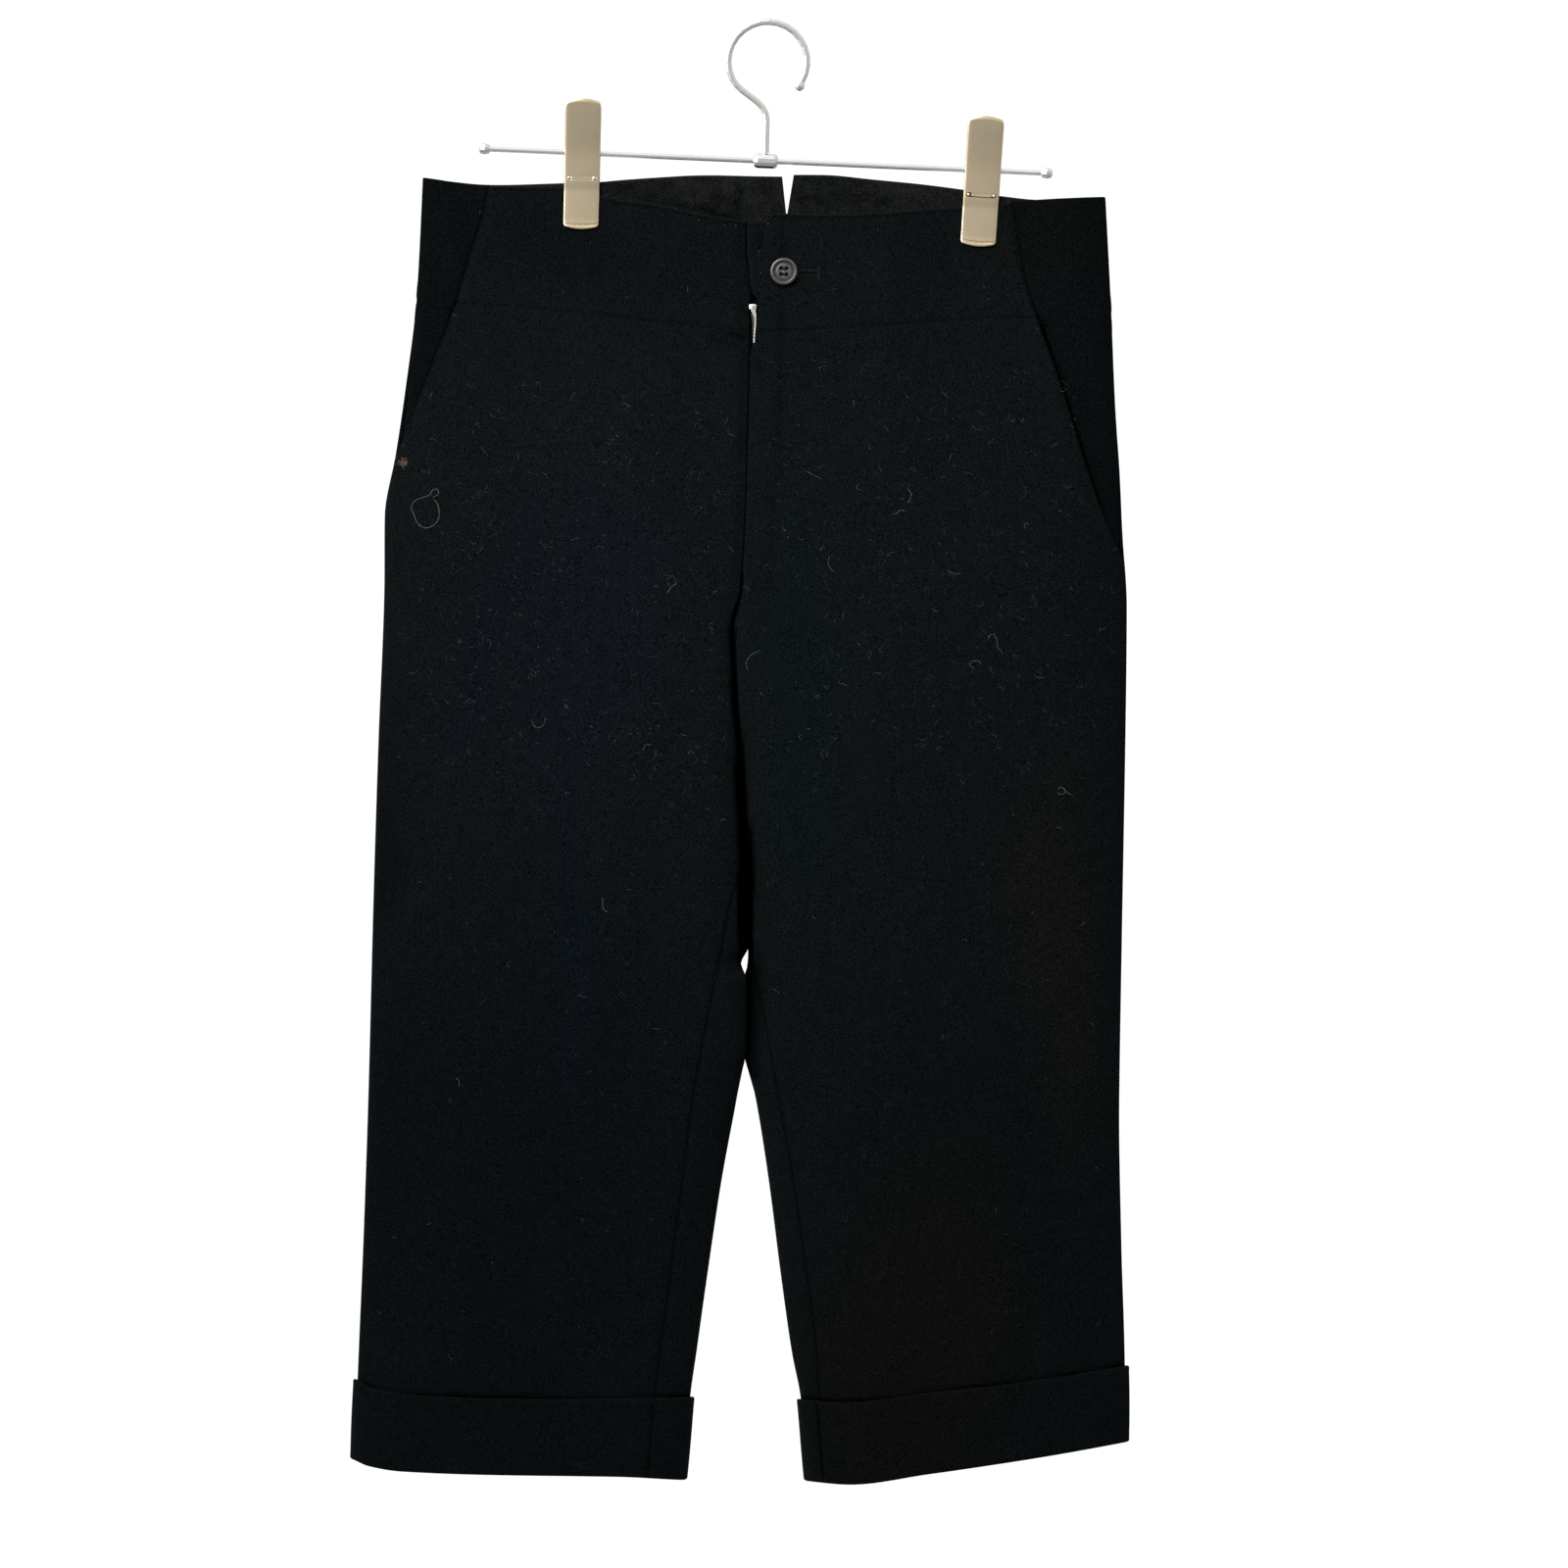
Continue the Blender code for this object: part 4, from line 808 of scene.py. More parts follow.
def front_panel(side, material):
    wall = PANEL_WALL
    rows = levels(BAND_JUNCTION_Z - SEAM_GAP / 2, PANEL_FOOT_Z, ROW_STEP)
    grid = Grid(side, rows, bent_row_z(side, front_seam_z), lambda z: front_inner_limit(side, z),
                lambda z: front_outer_limit(side, z), PANEL_COLUMNS)
    fly = smooth_step((grid.z - FLY_END_Z + 8.0) / 12.0)
    mouth = smooth_step((grid.z - POCKET_END[side] + 4.0) / 8.0)
    roll_start = fold_roll(grid.from_start, wall) * (fly if side == LEFT else 0.0)
    roll_end = fold_roll(grid.from_end, wall) * mouth
    rise = seam_rise(grid.from_start, *INSEAM_PRESS) * (1.0 - fly)
    rise += seam_rise(grid.from_end, *SIDE_PRESS) * (1.0 - mouth)
    rise += seam_rise(grid.from_top, *FRONT_TOP_PRESS) - roll_start - roll_end
    lap = fly * lap_shadow(grid, 0.9, 1.0, 0.85)
    shade = joined(seam_shade("inseam", grid.from_start) * (1.0 - fly), lap,
                   seam_shade("side", grid.from_end), seam_shade("front_top", grid.from_top),
                   line_shade(side, grid.x, grid.z), cuff_shade(side, grid.around, grid.z),
                   hollow_shade(side, grid.x, grid.z))
    shell = Shell(wall)
    sunk = under_rise(side, grid.x, grid.z)
    shell.join(shell.add(*lay(grid, wall, rise, roll_start + roll_end, edge_shift(grid), sunk), shade))
    return shell.build("front_" + SIDE_NAMES[side], material)


def back_panel(side, material):
    """The back from the side fold to the centre seam, and round the leg's inner edge to the inseam."""
    wall = PANEL_WALL
    row_z = bent_row_z(side, back_seam_z)
    upper = levels(BAND_JUNCTION_Z - SEAM_GAP / 2, FORK_Z, ROW_STEP, EDGE_LINES, [0.0])
    middle = np.linspace(FORK_Z, CROTCH_Z, 17)
    lower = levels(CROTCH_Z, PANEL_FOOT_Z, ROW_STEP, [0.0], EDGE_LINES)
    rows = np.concatenate([upper, middle[1:], lower[1:]])
    fork_row = len(upper) - 1
    crotch_row = fork_row + len(middle) - 1
    above_crotch = (np.arange(len(rows)) < crotch_row)[:, None]

    main = Grid(side, rows, row_z, unshifted(kept(1.0 - SIDE_SEAM_LAP)), kept(2.0), PANEL_COLUMNS)
    rise = seam_rise(main.from_start, *SIDE_PRESS) + seam_rise(main.from_end, *INSEAM_PRESS) * above_crotch
    rise += seam_rise(main.from_top, *BACK_TOP_PRESS)
    centre_seam = seam_shade("centre_back", main.from_end) * above_crotch
    shade = joined(seam_shade("side", main.from_start), centre_seam,
                   seam_shade("back_top", main.from_top), cuff_shade(side, main.around, main.z))
    shell = Shell(wall)
    numbers = shell.add(*lay(main, wall, rise), shade)
    shell.join(numbers)

    def strip_end(z):
        seam = side * (INSEAM(SIDE_NAMES[side], z) - SEAM_GAP / 2)
        return np.maximum(around_at(side, True, seam, z), 0.004)

    strip_lines = [0.0, 0.35, 0.8, 1.5, 2.8]
    strip = Grid(side, rows[fork_row:], row_z, unshifted(kept(0.0)), strip_end, 18, strip_lines)
    rise = seam_rise(strip.from_end, *INSEAM_PRESS)
    rise += seam_rise(strip.from_start, *INSEAM_PRESS) * above_crotch[fork_row:]
    rise *= smooth_step((FORK_Z - strip.z) / 12.0)
    outer, inner, cloth = lay(strip, wall, rise)
    cloth[..., 0] += main.run[fork_row:, -1:]
    shade = joined(seam_shade("inseam_strip", strip.from_end), cuff_shade(side, strip.around, strip.z),
                   hollow_shade(side, strip.x, strip.z))
    strip_numbers = shell.add(outer, inner, cloth, shade)
    strip_numbers[crotch_row - fork_row:, 0] = numbers[crotch_row:, -1]
    strip_numbers[0, :] = strip_numbers[0, 0]
    shell.join(strip_numbers)
    return shell.build("back_" + SIDE_NAMES[side], material)


def band_row_z(side, face, seam_z):
    """Rows of a waistband: level 0 is its top edge and level 1 its seam."""
    def row_z(around, level):
        z = np.full(np.shape(around + level), BAND_MIDDLE_Z)
        for _ in range(5):
            x = cloth_point(side, around, z)[..., 0]
            top = WAIST_TOP[side](face, side * x)
            z = top + (seam_z(x) + SEAM_GAP / 2 - top) * level
        return z
    return row_z


def band_levels():
    """Shares of a band's height at its rows, crowded at the top edge and the seam."""
    near = np.array(EDGE_LINES) / BAND_HEIGHT
    middle = np.linspace(near[-1], 1.0 - near[-1], 15)[1:-1]
    return np.concatenate([near, middle, 1.0 - near[::-1]])


def front_band(side, material, facing):
    wall = BAND_WALL

    def start(z):
        around, shift = front_inner_limit(side, z)
        tucked = (z > FLY_UNDER_TOP_Z) & (side == RIGHT)
        return np.where(tucked, 0.0, around), np.where(tucked, UNDERLAP_START, shift)

    grid = Grid(side, band_levels(), band_row_z(side, "front", front_seam_z), start,
                lambda z: front_outer_limit(side, z), BAND_COLUMNS)
    roll = np.maximum(fold_roll(grid.from_top, wall), fold_roll(grid.from_start, wall) * (side == LEFT))
    rise = seam_rise(grid.from_end, *SIDE_PRESS) + seam_rise(grid.from_bottom, *FRONT_TOP_PRESS) - roll
    slant = seam_shade("slant", grid.from_end) * (0.35 + 0.65 * smooth_step((-96.0 - grid.z) / 18.0))
    shade = joined(slant, seam_shade("front_band_foot", grid.from_bottom), lap_shadow(grid, 0.8, 0.9, 0.9),
                   line_shade(side, grid.x, grid.z), seam_shade("front_band_fold", grid.from_top - 1.9))
    # Painted highlights where the light catches the rolled top edge, patchy along it, and the lap's rolled
    # edge on the left band
    patchy = 0.6 + 0.4 * np.sin(grid.x * 1.7) * np.sin(grid.x * 0.43)
    painted_highlight = seam_shade("front_band_top_highlight", grid.from_top) * patchy
    painted_highlight += seam_shade("lap_edge_highlight", grid.from_start - 1.3) * (side == LEFT)
    shell = Shell(wall)
    sunk = under_rise(side, grid.x, grid.z)
    numbers = shell.add(*lay(grid, wall, rise, roll, edge_shift(grid), sunk), shade - painted_highlight)
    shell.join(numbers)
    if side == RIGHT:
        underlap(shell, grid, numbers, wall)
    return shell.build("front_waistband_" + SIDE_NAMES[side], material, facing)


def underlap(shell, grid, numbers, wall):
    """The right waistband's tab under the lap, which carries the button."""
    rows = grid.z[:, 0] > FLY_UNDER_TOP_Z
    z = grid.z[rows, 0][:, None]
    near_end = UNDERLAP_REACH - np.array([1.2, 0.6, 0.25, 0.0])
    reach = np.concatenate([np.linspace(2.2, UNDERLAP_REACH - 2.0, 16), near_end])
    place = cloth_point(RIGHT, np.zeros(z.shape), z) + np.zeros((1, len(reach), 1))
    normal = cloth_normal(RIGHT, np.zeros(z.shape), z)
    place[..., 0] += reach
    roll = np.maximum(fold_roll(UNDERLAP_REACH - reach, wall)[None, :],
                      fold_roll(grid.from_top[rows, 0], wall)[:, None])
    outer = place + normal * (-UNDER_DROP - roll)[..., None]
    inner = place + normal * (-UNDER_DROP - wall + roll)[..., None]
    cloth = np.stack([-reach + 0.0 * z, z + 0.0 * reach], axis=-1)
    tab = shell.add(outer, inner, cloth)
    shell.join(np.concatenate([tab[:, ::-1], numbers[rows, :1]], axis=1))


def back_band(side, material, facing):
    wall = BAND_WALL

    def end(z):
        cut = NOTCH_HALF * np.clip((z - NOTCH_POINT_Z) / (NOTCH_TOP_Z - NOTCH_POINT_Z), 0.0, 1.0)
        return around_at(side, False, inner_x(side, False, z) + side * cut, z)

    grid = Grid(side, band_levels(), band_row_z(side, "back", back_seam_z),
                unshifted(kept(1.0 - SIDE_SEAM_LAP)), end, BAND_COLUMNS)
    notch = smooth_step((grid.z - NOTCH_POINT_Z + 1.0) / 2.0)
    roll = np.maximum(fold_roll(grid.from_top, wall), fold_roll(grid.from_end, wall) * notch)
    rise = seam_rise(grid.from_end, *INSEAM_PRESS) * (1.0 - notch) - roll
    rise += seam_rise(grid.from_bottom, *BACK_BAND_PRESS) + seam_rise(grid.from_start, *SIDE_PRESS)
    shade = joined(seam_shade("back_band_side", grid.from_start),
                   seam_shade("back_band_foot", grid.from_bottom),
                   seam_shade("centre_back", grid.from_end) * (1.0 - notch))
    # Painted shade and painted light of the folds inside the back band, and a painted highlight along its top
    # edge
    facing_shade = inside_shade(grid.x, grid.z) - seam_shade("back_band_top_highlight", grid.from_top)
    shell = Shell(wall)
    shell.join(shell.add(*lay(grid, wall, rise, roll), shade, facing_shade))
    return shell.build("back_waistband_" + SIDE_NAMES[side], material, facing)


def side_piece(side, material):
    """Up to the waist beside the band, and behind the pocket's mouth lower down."""
    wall = PANEL_WALL
    name = SIDE_NAMES[side]
    junction = float(front_seam_z(SLANT(name, BAND_JUNCTION_Z)))
    mouth_top = junction - 5.0

    def row_z(around, level):
        def height(x):
            top = WAIST_TOP[side]("front", side * x)
            return level + (top - WAIST_SIDE_Z) * (1.0 - smooth_step((WAIST_SIDE_Z - level) / 30.0))
        z = height(outer_x(side, level + 0.0 * around))
        for _ in range(5):
            z = height(cloth_point(side, around, z)[..., 0])
        return z

    def start(z):
        mouth = SLANT(name, z) + SEAM_GAP / 2
        under = POCKET_UNDER * smooth_step((mouth_top + 3.0 - z) / 3.0)
        return around_at(side, True, side * (mouth - under), z)

    rows = levels(WAIST_SIDE_Z, POCKET_END[side] - 6.0, 2.4)
    grid = Grid(side, rows, row_z, unshifted(start), kept(1.0 + SIDE_SEAM_LAP), 36)
    beyond = side * grid.x - SLANT(name, grid.z) - SEAM_GAP / 2
    drop = UNDER_DROP * smooth_step((junction + 14.0 - grid.z) / 14.0)
    sunk = -drop * (1.0 - smooth_step((beyond - 3.0) / POCKET_FADE))
    beside_band = smooth_step((grid.z - junction) / 3.0)
    roll = fold_roll(grid.from_top, wall)
    rise = seam_rise(grid.from_start, *SIDE_PRESS) * beside_band
    rise += seam_rise(grid.from_end, *SIDE_PRESS) - roll
    # Painted black shade in the mouth's gap, the painted shadow of the front's edge beyond it, and painted
    # shade over the whole piece
    taper = smooth_step((grid.z - POCKET_END[side] - 2.0) / MOUTH_TAPER)
    reach = MOUTH_SHADE[side] * taper - 0.6 * (1.0 - taper)
    mouth = (1.0 - smooth_step((beyond - reach) / (0.7 + 0.9 * taper))) * (1.0 - beside_band)
    in_shadow = 0.14 * np.exp(-np.maximum(beyond, 0.0) / 9.0) * (1.0 - beside_band)
    shade = joined(seam_shade("beside_band", grid.from_start) * beside_band, 0.94 * mouth, in_shadow,
                   seam_shade("side", grid.from_end), SIDE_SHADE[side])
    shell = Shell(wall)
    shell.join(shell.add(*lay(grid, wall, rise, roll, sunk=sunk), shade))
    return shell.build("side_" + name, material)


def cuff(side, material):
    """Turned-up cuff: folded cloth outside the leg, rolled at its top edge and its bottom fold."""
    around = np.arange(CUFF_STEPS) * 2.0 / CUFF_STEPS
    top = hem_z(side, around, "cuff")
    low = hem_z(side, around)
    half_way = (top + low) / 2
    outer, inner = CUFF_GAP + CUFF_WALL, -PANEL_WALL
    seam_x = side * INSEAM(SIDE_NAMES[side], half_way)
    from_seam = np.abs(cloth_point(side, around, half_way)[:, 0] - seam_x)
    from_inseam = np.where(around < 1.0, from_seam, 99.0)
    from_side = np.abs(around - 1.0) * CUFF_SIDE_RUN
    ditch = 0.6 * bell(from_inseam, 0.7) + 0.45 * bell(from_side, 0.8)
    # Painted shade along the cuff's inseam and side fold, and a little over the whole cuff, which hangs where
    # the light falls off
    line = joined(seam_shade("cuff_inseam", from_inseam), seam_shade("cuff_side", from_side), 0.08)

    # The section, from the leg over the top edge and round the fold: distance, height and share of the ditch
    # and of the painted shade
    radius = CUFF_WALL / 2
    profile = [(out, top - radius + up, 0.3)
               for out, up in arc(CUFF_GAP + radius, 0.0, radius, np.linspace(180, 0, 9))]
    for share in np.linspace(0.0, 1.0, 16)[1:-1]:
        belly = CUFF_BELLY * math.sin(math.pi * share)
        profile.append((outer + belly, top - radius + (low - top + radius + CUFF_FOLD) * share, 1.0))
    fold_middle, fold_half = (outer + inner) / 2, (outer - inner) / 2
    for angle in np.radians(np.linspace(0, -180, 11)):
        z = low + CUFF_FOLD + CUFF_FOLD * math.sin(angle)
        profile.append((fold_middle + fold_half * math.cos(angle), z, 0.4))
    profile.append((inner, low + CUFF_ROLL + 0.6, 0.0))
    profile.append((inner + PANEL_WALL * 0.5, low + CUFF_ROLL + 0.9, 0.0))
    profile.append((CUFF_GAP - 0.25, low + CUFF_ROLL + 0.6, 0.0))
    profile.append((CUFF_GAP, low + 6.0, 0.0))
    profile.append((CUFF_GAP, half_way, 0.0))

    rings = []
    cloth = []
    for out, z, share in profile:
        flat = cloth_normal(side, around, z) * [1.0, 1.0, 0.0]
        flat /= np.linalg.norm(flat, axis=-1, keepdims=True)
        rings.append(cloth_point(side, around, z) + flat * (out - ditch * share)[:, None])
        cloth.append(np.stack([around * CUFF_CLOTH_RUN, z], axis=-1))
    name = "turned_cuff_" + SIDE_NAMES[side]
    data = bpy.data.meshes.new(name)
    data.from_pydata((np.concatenate(rings) * MM).tolist(), [], ring_faces(len(rings), CUFF_STEPS, True))
    lay_out(data, np.concatenate(cloth) * MM)
    darken(data, np.concatenate([line * share for _, _, share in profile]))
    return finish(name, data, material)


class Parts:
    """Small closed forms gathered into one mesh."""

    def __init__(self):
        self.points = []
        self.faces = []

    def rings(self, rings):
        """Closed rings of points one after another, with flat ends."""
        count = len(rings[0])
        base = len(self.points)
        self.points += [tuple(p) for ring in rings for p in ring]
        faces = ring_faces(len(rings), count)
        faces.append(list(range(count))[::-1])
        faces.append([(len(rings) - 1) * count + j for j in range(count)])
        self.faces += [[v + base for v in face] for face in faces]

    def tube(self, path, radius, sides=6, taper=0.35):
        """A round thread along a path, drawn in at both ends."""
        path = np.asarray(path, float)
        ahead = np.gradient(path, axis=0)
        ahead /= np.maximum(np.linalg.norm(ahead, axis=1, keepdims=True), 1e-9)
        level = np.where(np.abs(ahead[:, 1:2]) > 0.8, [[0.0, 0.0, 1.0]], [[0.0, 1.0, 0.0]])
        first = np.cross(ahead, level)
        first /= np.maximum(np.linalg.norm(first, axis=1, keepdims=True), 1e-9)
        second = np.cross(ahead, first)
        rings = []
        for i, place in enumerate(path):
            size = radius * (taper if i in (0, len(path) - 1) else 1.0)
            rings.append([place + a * first[i] + b * second[i] for a, b in circle(0.0, 0.0, size, sides)])
        self.rings(rings)

    def build(self, name, material, smooth_angle=50.0):
        data = bpy.data.meshes.new(name)
        data.from_pydata((np.asarray(self.points) * MM).tolist(), [], self.faces)
        return finish(name, data, material, smooth_angle)


def surface_at(side, x, z, rise=0.0):
    """Places on the front's cloth seen at x and z, moved out by rise."""
    x, z = np.broadcast_arrays(np.asarray(x, float), np.asarray(z, float))
    around = around_at(side, True, x, z)
    rise = np.broadcast_to(rise, x.shape)[..., None]
    return cloth_point(side, around, z) + cloth_normal(side, around, z) * rise


# Materials


def put(tree, socket, value):
    """Links an output to a socket, or sets the socket to a number or to a colour."""
    if isinstance(value, bpy.types.NodeSocket):
        tree.links.new(value, socket)
    else:
        socket.default_value = (*value, 1.0) if isinstance(value, tuple) else value


def math_node(tree, operation, a, b=0.0, c=0.0):
    node = tree.nodes.new("ShaderNodeMath")
    node.operation = operation
    for socket, value in zip(node.inputs, (a, b, c)):
        put(tree, socket, value)
    return node.outputs[0]


class Shader:
    """A material's node tree with short ways to add nodes."""

    def __init__(self, name):
        self.material = bpy.data.materials.new(name)
        self.material.use_nodes = True
        self.tree = self.material.node_tree
        self.surface = self.tree.nodes["Principled BSDF"]

    def node(self, kind, **values):
        node = self.tree.nodes.new(kind)
        for key, value in values.items():
            if key.title() in node.inputs:
                put(self.tree, node.inputs[key.title()], value)
            else:
                setattr(node, key, value)
        return node

    def math(self, operation, a, b=0.0, c=0.0):
        return math_node(self.tree, operation, a, b, c)

    def mix(self, share, a, b, blend="MIX"):
        node = self.node("ShaderNodeMix", data_type="RGBA", blend_type=blend)
        for i, value in ((0, share), (6, a), (7, b)):
            put(self.tree, node.inputs[i], value)
        return node.outputs[2]

    def clamp(self, value):
        return self.math("MINIMUM", self.math("MAXIMUM", value, 0.0), 1.0)

    def wave(self, place, pitch):
        """A sine wave of a given length along a coordinate."""
        return self.math("SINE", self.math("MULTIPLY", place, 2 * math.pi / pitch))

    def swing(self, value, gain, middle):
        """A noise that swings round a half, made to swing round another middle."""
        return self.math("MULTIPLY_ADD", self.math("SUBTRACT", value, 0.5), gain, middle)

    def place(self, stretch=None):
        """The place on the part, with its axes stretched where that is asked."""
        place = self.node("ShaderNodeTexCoord").outputs["Object"]
        if stretch is None:
            return place
        mapping = self.node("ShaderNodeMapping", vector=place)
        mapping.inputs["Scale"].default_value = stretch
        return mapping.outputs[0]

    def noise(self, scale, detail=2.0, roughness=0.5, stretch=None):
        vector = self.place(stretch)
        node = self.node("ShaderNodeTexNoise", scale=scale, detail=detail, roughness=roughness, vector=vector)
        return node.outputs["Fac"]

    def bump(self, height, strength, distance):
        node = self.node("ShaderNodeBump", strength=strength, distance=distance, height=height)
        put(self.tree, self.surface.inputs["Normal"], node.outputs[0])

    def set(self, **values):
        names = {"color": "Base Color", "roughness": "Roughness", "metallic": "Metallic",
                 "specular": "Specular IOR Level", "sheen": "Sheen Weight",
                 "sheen_roughness": "Sheen Roughness", "sheen_tint": "Sheen Tint", "coat": "Coat Weight",
                 "coat_roughness": "Coat Roughness"}
        for key, value in values.items():
            put(self.tree, self.surface.inputs[names[key]], value)


WARP_PITCH = 0.00062
WEFT_PITCH = 0.00072

# The wool's darkest and palest colour, that of its painted deepest shadow, and that of the painted highlights
# on its rolled edges
WOOL_DARK = (0.0015, 0.0023, 0.0025)
WOOL_LIGHT = (0.0076, 0.0102, 0.0111)
WOOL_SHADOW = (0.0002, 0.0003, 0.0003)
WOOL_EDGE_HIGHLIGHT = (0.030, 0.031, 0.029)
FLECK = 4.8

# Soft patches laid over the cloth, the first four painted shade where the light falls off and the rest faint
# shifts of the black's tint: middle, half width and half height, lean in degrees and colour.
TINTS_AND_PAINTED_SHADES = [
    # x, z, across, down, lean, red, green and blue against the cloth's own
    # Painted shade: over the right waistband, towards both legs' feet and along the right side fold
    (-80, -132, 125, 55, 0, 0.80, 0.80, 0.81),
    (-128, -640, 150, 230, 0, 0.80, 0.81, 0.82),
    (125, -650, 130, 200, 0, 0.88, 0.88, 0.88),
    (-206, -520, 38, 240, 0, 0.72, 0.72, 0.74),
    # Faint shifts of the black's tint
    (-120, -200, 95, 74, 20, 1.18, 0.94, 1.08),
    (-95, -345, 95, 190, 10, 1.10, 0.98, 1.25),
    (-172, -430, 24, 180, 13, 1.10, 0.96, 1.06),
    (-150, -335, 16, 120, 15, 1.00, 0.95, 1.34),
    (-98, -520, 13, 150, -2, 0.84, 0.94, 1.30),
    (40, -300, 80, 150, -16, 0.98, 1.02, 1.18),
    (26, -390, 30, 150, -6, 0.92, 1.06, 1.08),
    (168, -505, 38, 170, -6, 1.34, 1.08, 0.92),
    (96, -720, 84, 150, 14, 1.12, 0.88, 0.70),
    (152, -112, 80, 50, 8, 1.08, 0.98, 0.86),
    (158, -640, 18, 110, -18, 0.74, 0.85, 0.92),
]


def wool(name="worsted", dark=WOOL_DARK, light=WOOL_LIGHT, tinted=True, mottle=0.5):
    """Fine black worsted: a steep twill of round threads, a little loose nap, slow shifts of tint, and
    painted shade and painted highlights.
    """
    shader = Shader(name)
    cloth = shader.node("ShaderNodeUVMap", uv_map="cloth").outputs[0]
    split = shader.node("ShaderNodeSeparateXYZ", vector=cloth)
    across = shader.math("MULTIPLY_ADD", shader.noise(90.0), 0.00035, split.outputs[0])
    down = split.outputs[1]
    crossing = shader.math("MULTIPLY", shader.wave(across, WARP_PITCH), shader.wave(down, WEFT_PITCH))
    diagonal = shader.math("ADD", shader.math("MULTIPLY", across, math.pi / WARP_PITCH),
                           shader.math("MULTIPLY", down, math.pi / WEFT_PITCH))
    twill = shader.math("SINE", diagonal)
    threads = shader.math("MULTIPLY_ADD", twill, 0.22, shader.math("MULTIPLY_ADD", crossing, 0.28, 0.5))
    height = shader.math("MULTIPLY_ADD", shader.noise(2600.0, 3.0, 0.65), 0.8, threads)
    tone = shader.swing(shader.noise(1300.0, 2.0, 0.7), FLECK, shader.math("MULTIPLY", height, 0.5))
    tone = shader.swing(shader.noise(160.0, 3.0, 0.6), mottle, tone)
    colour = shader.mix(shader.clamp(tone), dark, light)
    if tinted:
        tint = tint_and_painted_shade_map(shader)
    else:
        drift = shader.swing(shader.noise(55.0), 4.0, 0.5)
        tint = shader.mix(shader.clamp(drift), (0.96, 1.03, 0.96), (1.05, 0.98, 1.08))
    colour = shader.mix(1.0, colour, tint, "MULTIPLY")
    # The shade attribute is painted shade along seams, creases, hollows and cuffs, mixed towards the deepest
    # shadow with the gloss taken out there; below 0 it is a painted highlight on rolled edges
    shade = shader.node("ShaderNodeAttribute", attribute_name="shade").outputs["Fac"]
    colour = shader.mix(shader.clamp(shade), colour, WOOL_SHADOW)
    colour = shader.mix(shader.clamp(shader.math("MULTIPLY", shade, -1.0)), colour, WOOL_EDGE_HIGHLIGHT)
    gloss = shader.math("MULTIPLY_ADD", shader.clamp(shade), -0.02, 0.02)
    shader.set(color=colour, roughness=0.95, specular=gloss, sheen=gloss, sheen_roughness=0.5,
               sheen_tint=(0.55, 0.66, 0.75))
    shader.bump(height, 0.55, 0.00022)
    return shader.material


def tint_and_painted_shade_map(shader):
    """Soft wandering patches over the whole garment: painted shade in the grey ones, shifts of tint in the
    others.
    """
    place = shader.place()
    drift = shader.node("ShaderNodeTexNoise", scale=16.0, detail=4.0, vector=place)
    shift = shader.node("ShaderNodeVectorMath", operation="MULTIPLY_ADD")
    put(shader.tree, shift.inputs[0], drift.outputs["Color"])
    shift.inputs[1].default_value = (0.05, 0.0, 0.05)
    put(shader.tree, shift.inputs[2], place)
    tint = (1.0, 1.0, 1.0)
    for x, z, across, down, lean, *colour in TINTS_AND_PAINTED_SHADES:
        frame_of = shader.node("ShaderNodeMapping", vector_type="TEXTURE", vector=shift.outputs[0])
        frame_of.inputs["Location"].default_value = ((x + 25) * MM, 0.0, (z + 25) * MM)
        frame_of.inputs["Rotation"].default_value = (0.0, math.radians(lean), 0.0)
        frame_of.inputs["Scale"].default_value = (across * MM, 10.0, down * MM)
        patch = shader.node("ShaderNodeTexGradient", gradient_type="SPHERICAL", vector=frame_of.outputs[0])
        soft = shader.node("ShaderNodeMapRange", interpolation_type="SMOOTHSTEP", value=patch.outputs["Fac"])
        soft.inputs["From Max"].default_value = 0.8
        tint = shader.mix(soft.outputs[0], tint, tuple(colour))
    return tint


def thread(name, colour):
    shader = Shader(name)
    twist = shader.noise(1500.0, 2.0)
    shader.set(color=shader.mix(twist, tuple(c * 0.5 for c in colour), colour), roughness=0.8, specular=0.06,
               sheen=0.0)
    shader.bump(twist, 0.5, 0.0001)
    return shader.material


def metal(name, colour, roughness, grain=0.25, stretch=(1.0, 1.0, 1.0)):
    """Plated metal with a fine satin grain, faint tarnish and small differences in gloss."""
    shader = Shader(name)
    fine = shader.noise(2200.0, 3.0, 0.6, stretch)
    darker = tuple(c * 0.84 for c in colour)
    shader.set(color=shader.mix(shader.noise(60.0, 3.0, 0.6), darker, colour), metallic=1.0,
               roughness=shader.math("MULTIPLY_ADD", fine, 0.10, roughness - 0.05))
    shader.bump(fine, grain, 0.00004)
    return shader.material


def polished_button(name):
    """Dark polished horn look: cloudy near-black streaks under a clear gloss."""
    shader = Shader(name)
    streak = shader.noise(140.0, 4.0, 0.6, (1.0, 1.0, 3.0))
    shader.set(color=shader.mix(streak, (0.030, 0.029, 0.025), (0.085, 0.082, 0.070)), roughness=0.1,
               specular=0.5, coat=0.55, coat_roughness=0.04)
    shader.bump(shader.noise(700.0), 0.12, 0.00005)
    return shader.material


def tape_cloth(name):
    shader = Shader(name)
    split = shader.node("ShaderNodeSeparateXYZ", vector=shader.place())
    crossing = shader.math("MULTIPLY", shader.wave(split.outputs[0], 0.0008),
                           shader.wave(split.outputs[2], 0.0009))
    weave = shader.math("MULTIPLY_ADD", crossing, 0.5, 0.5)
    shader.set(color=shader.mix(weave, (0.0012, 0.0014, 0.0015), (0.0045, 0.005, 0.0052)), roughness=0.9,
               specular=0.03)
    shader.bump(weave, 0.6, 0.00015)
    return shader.material


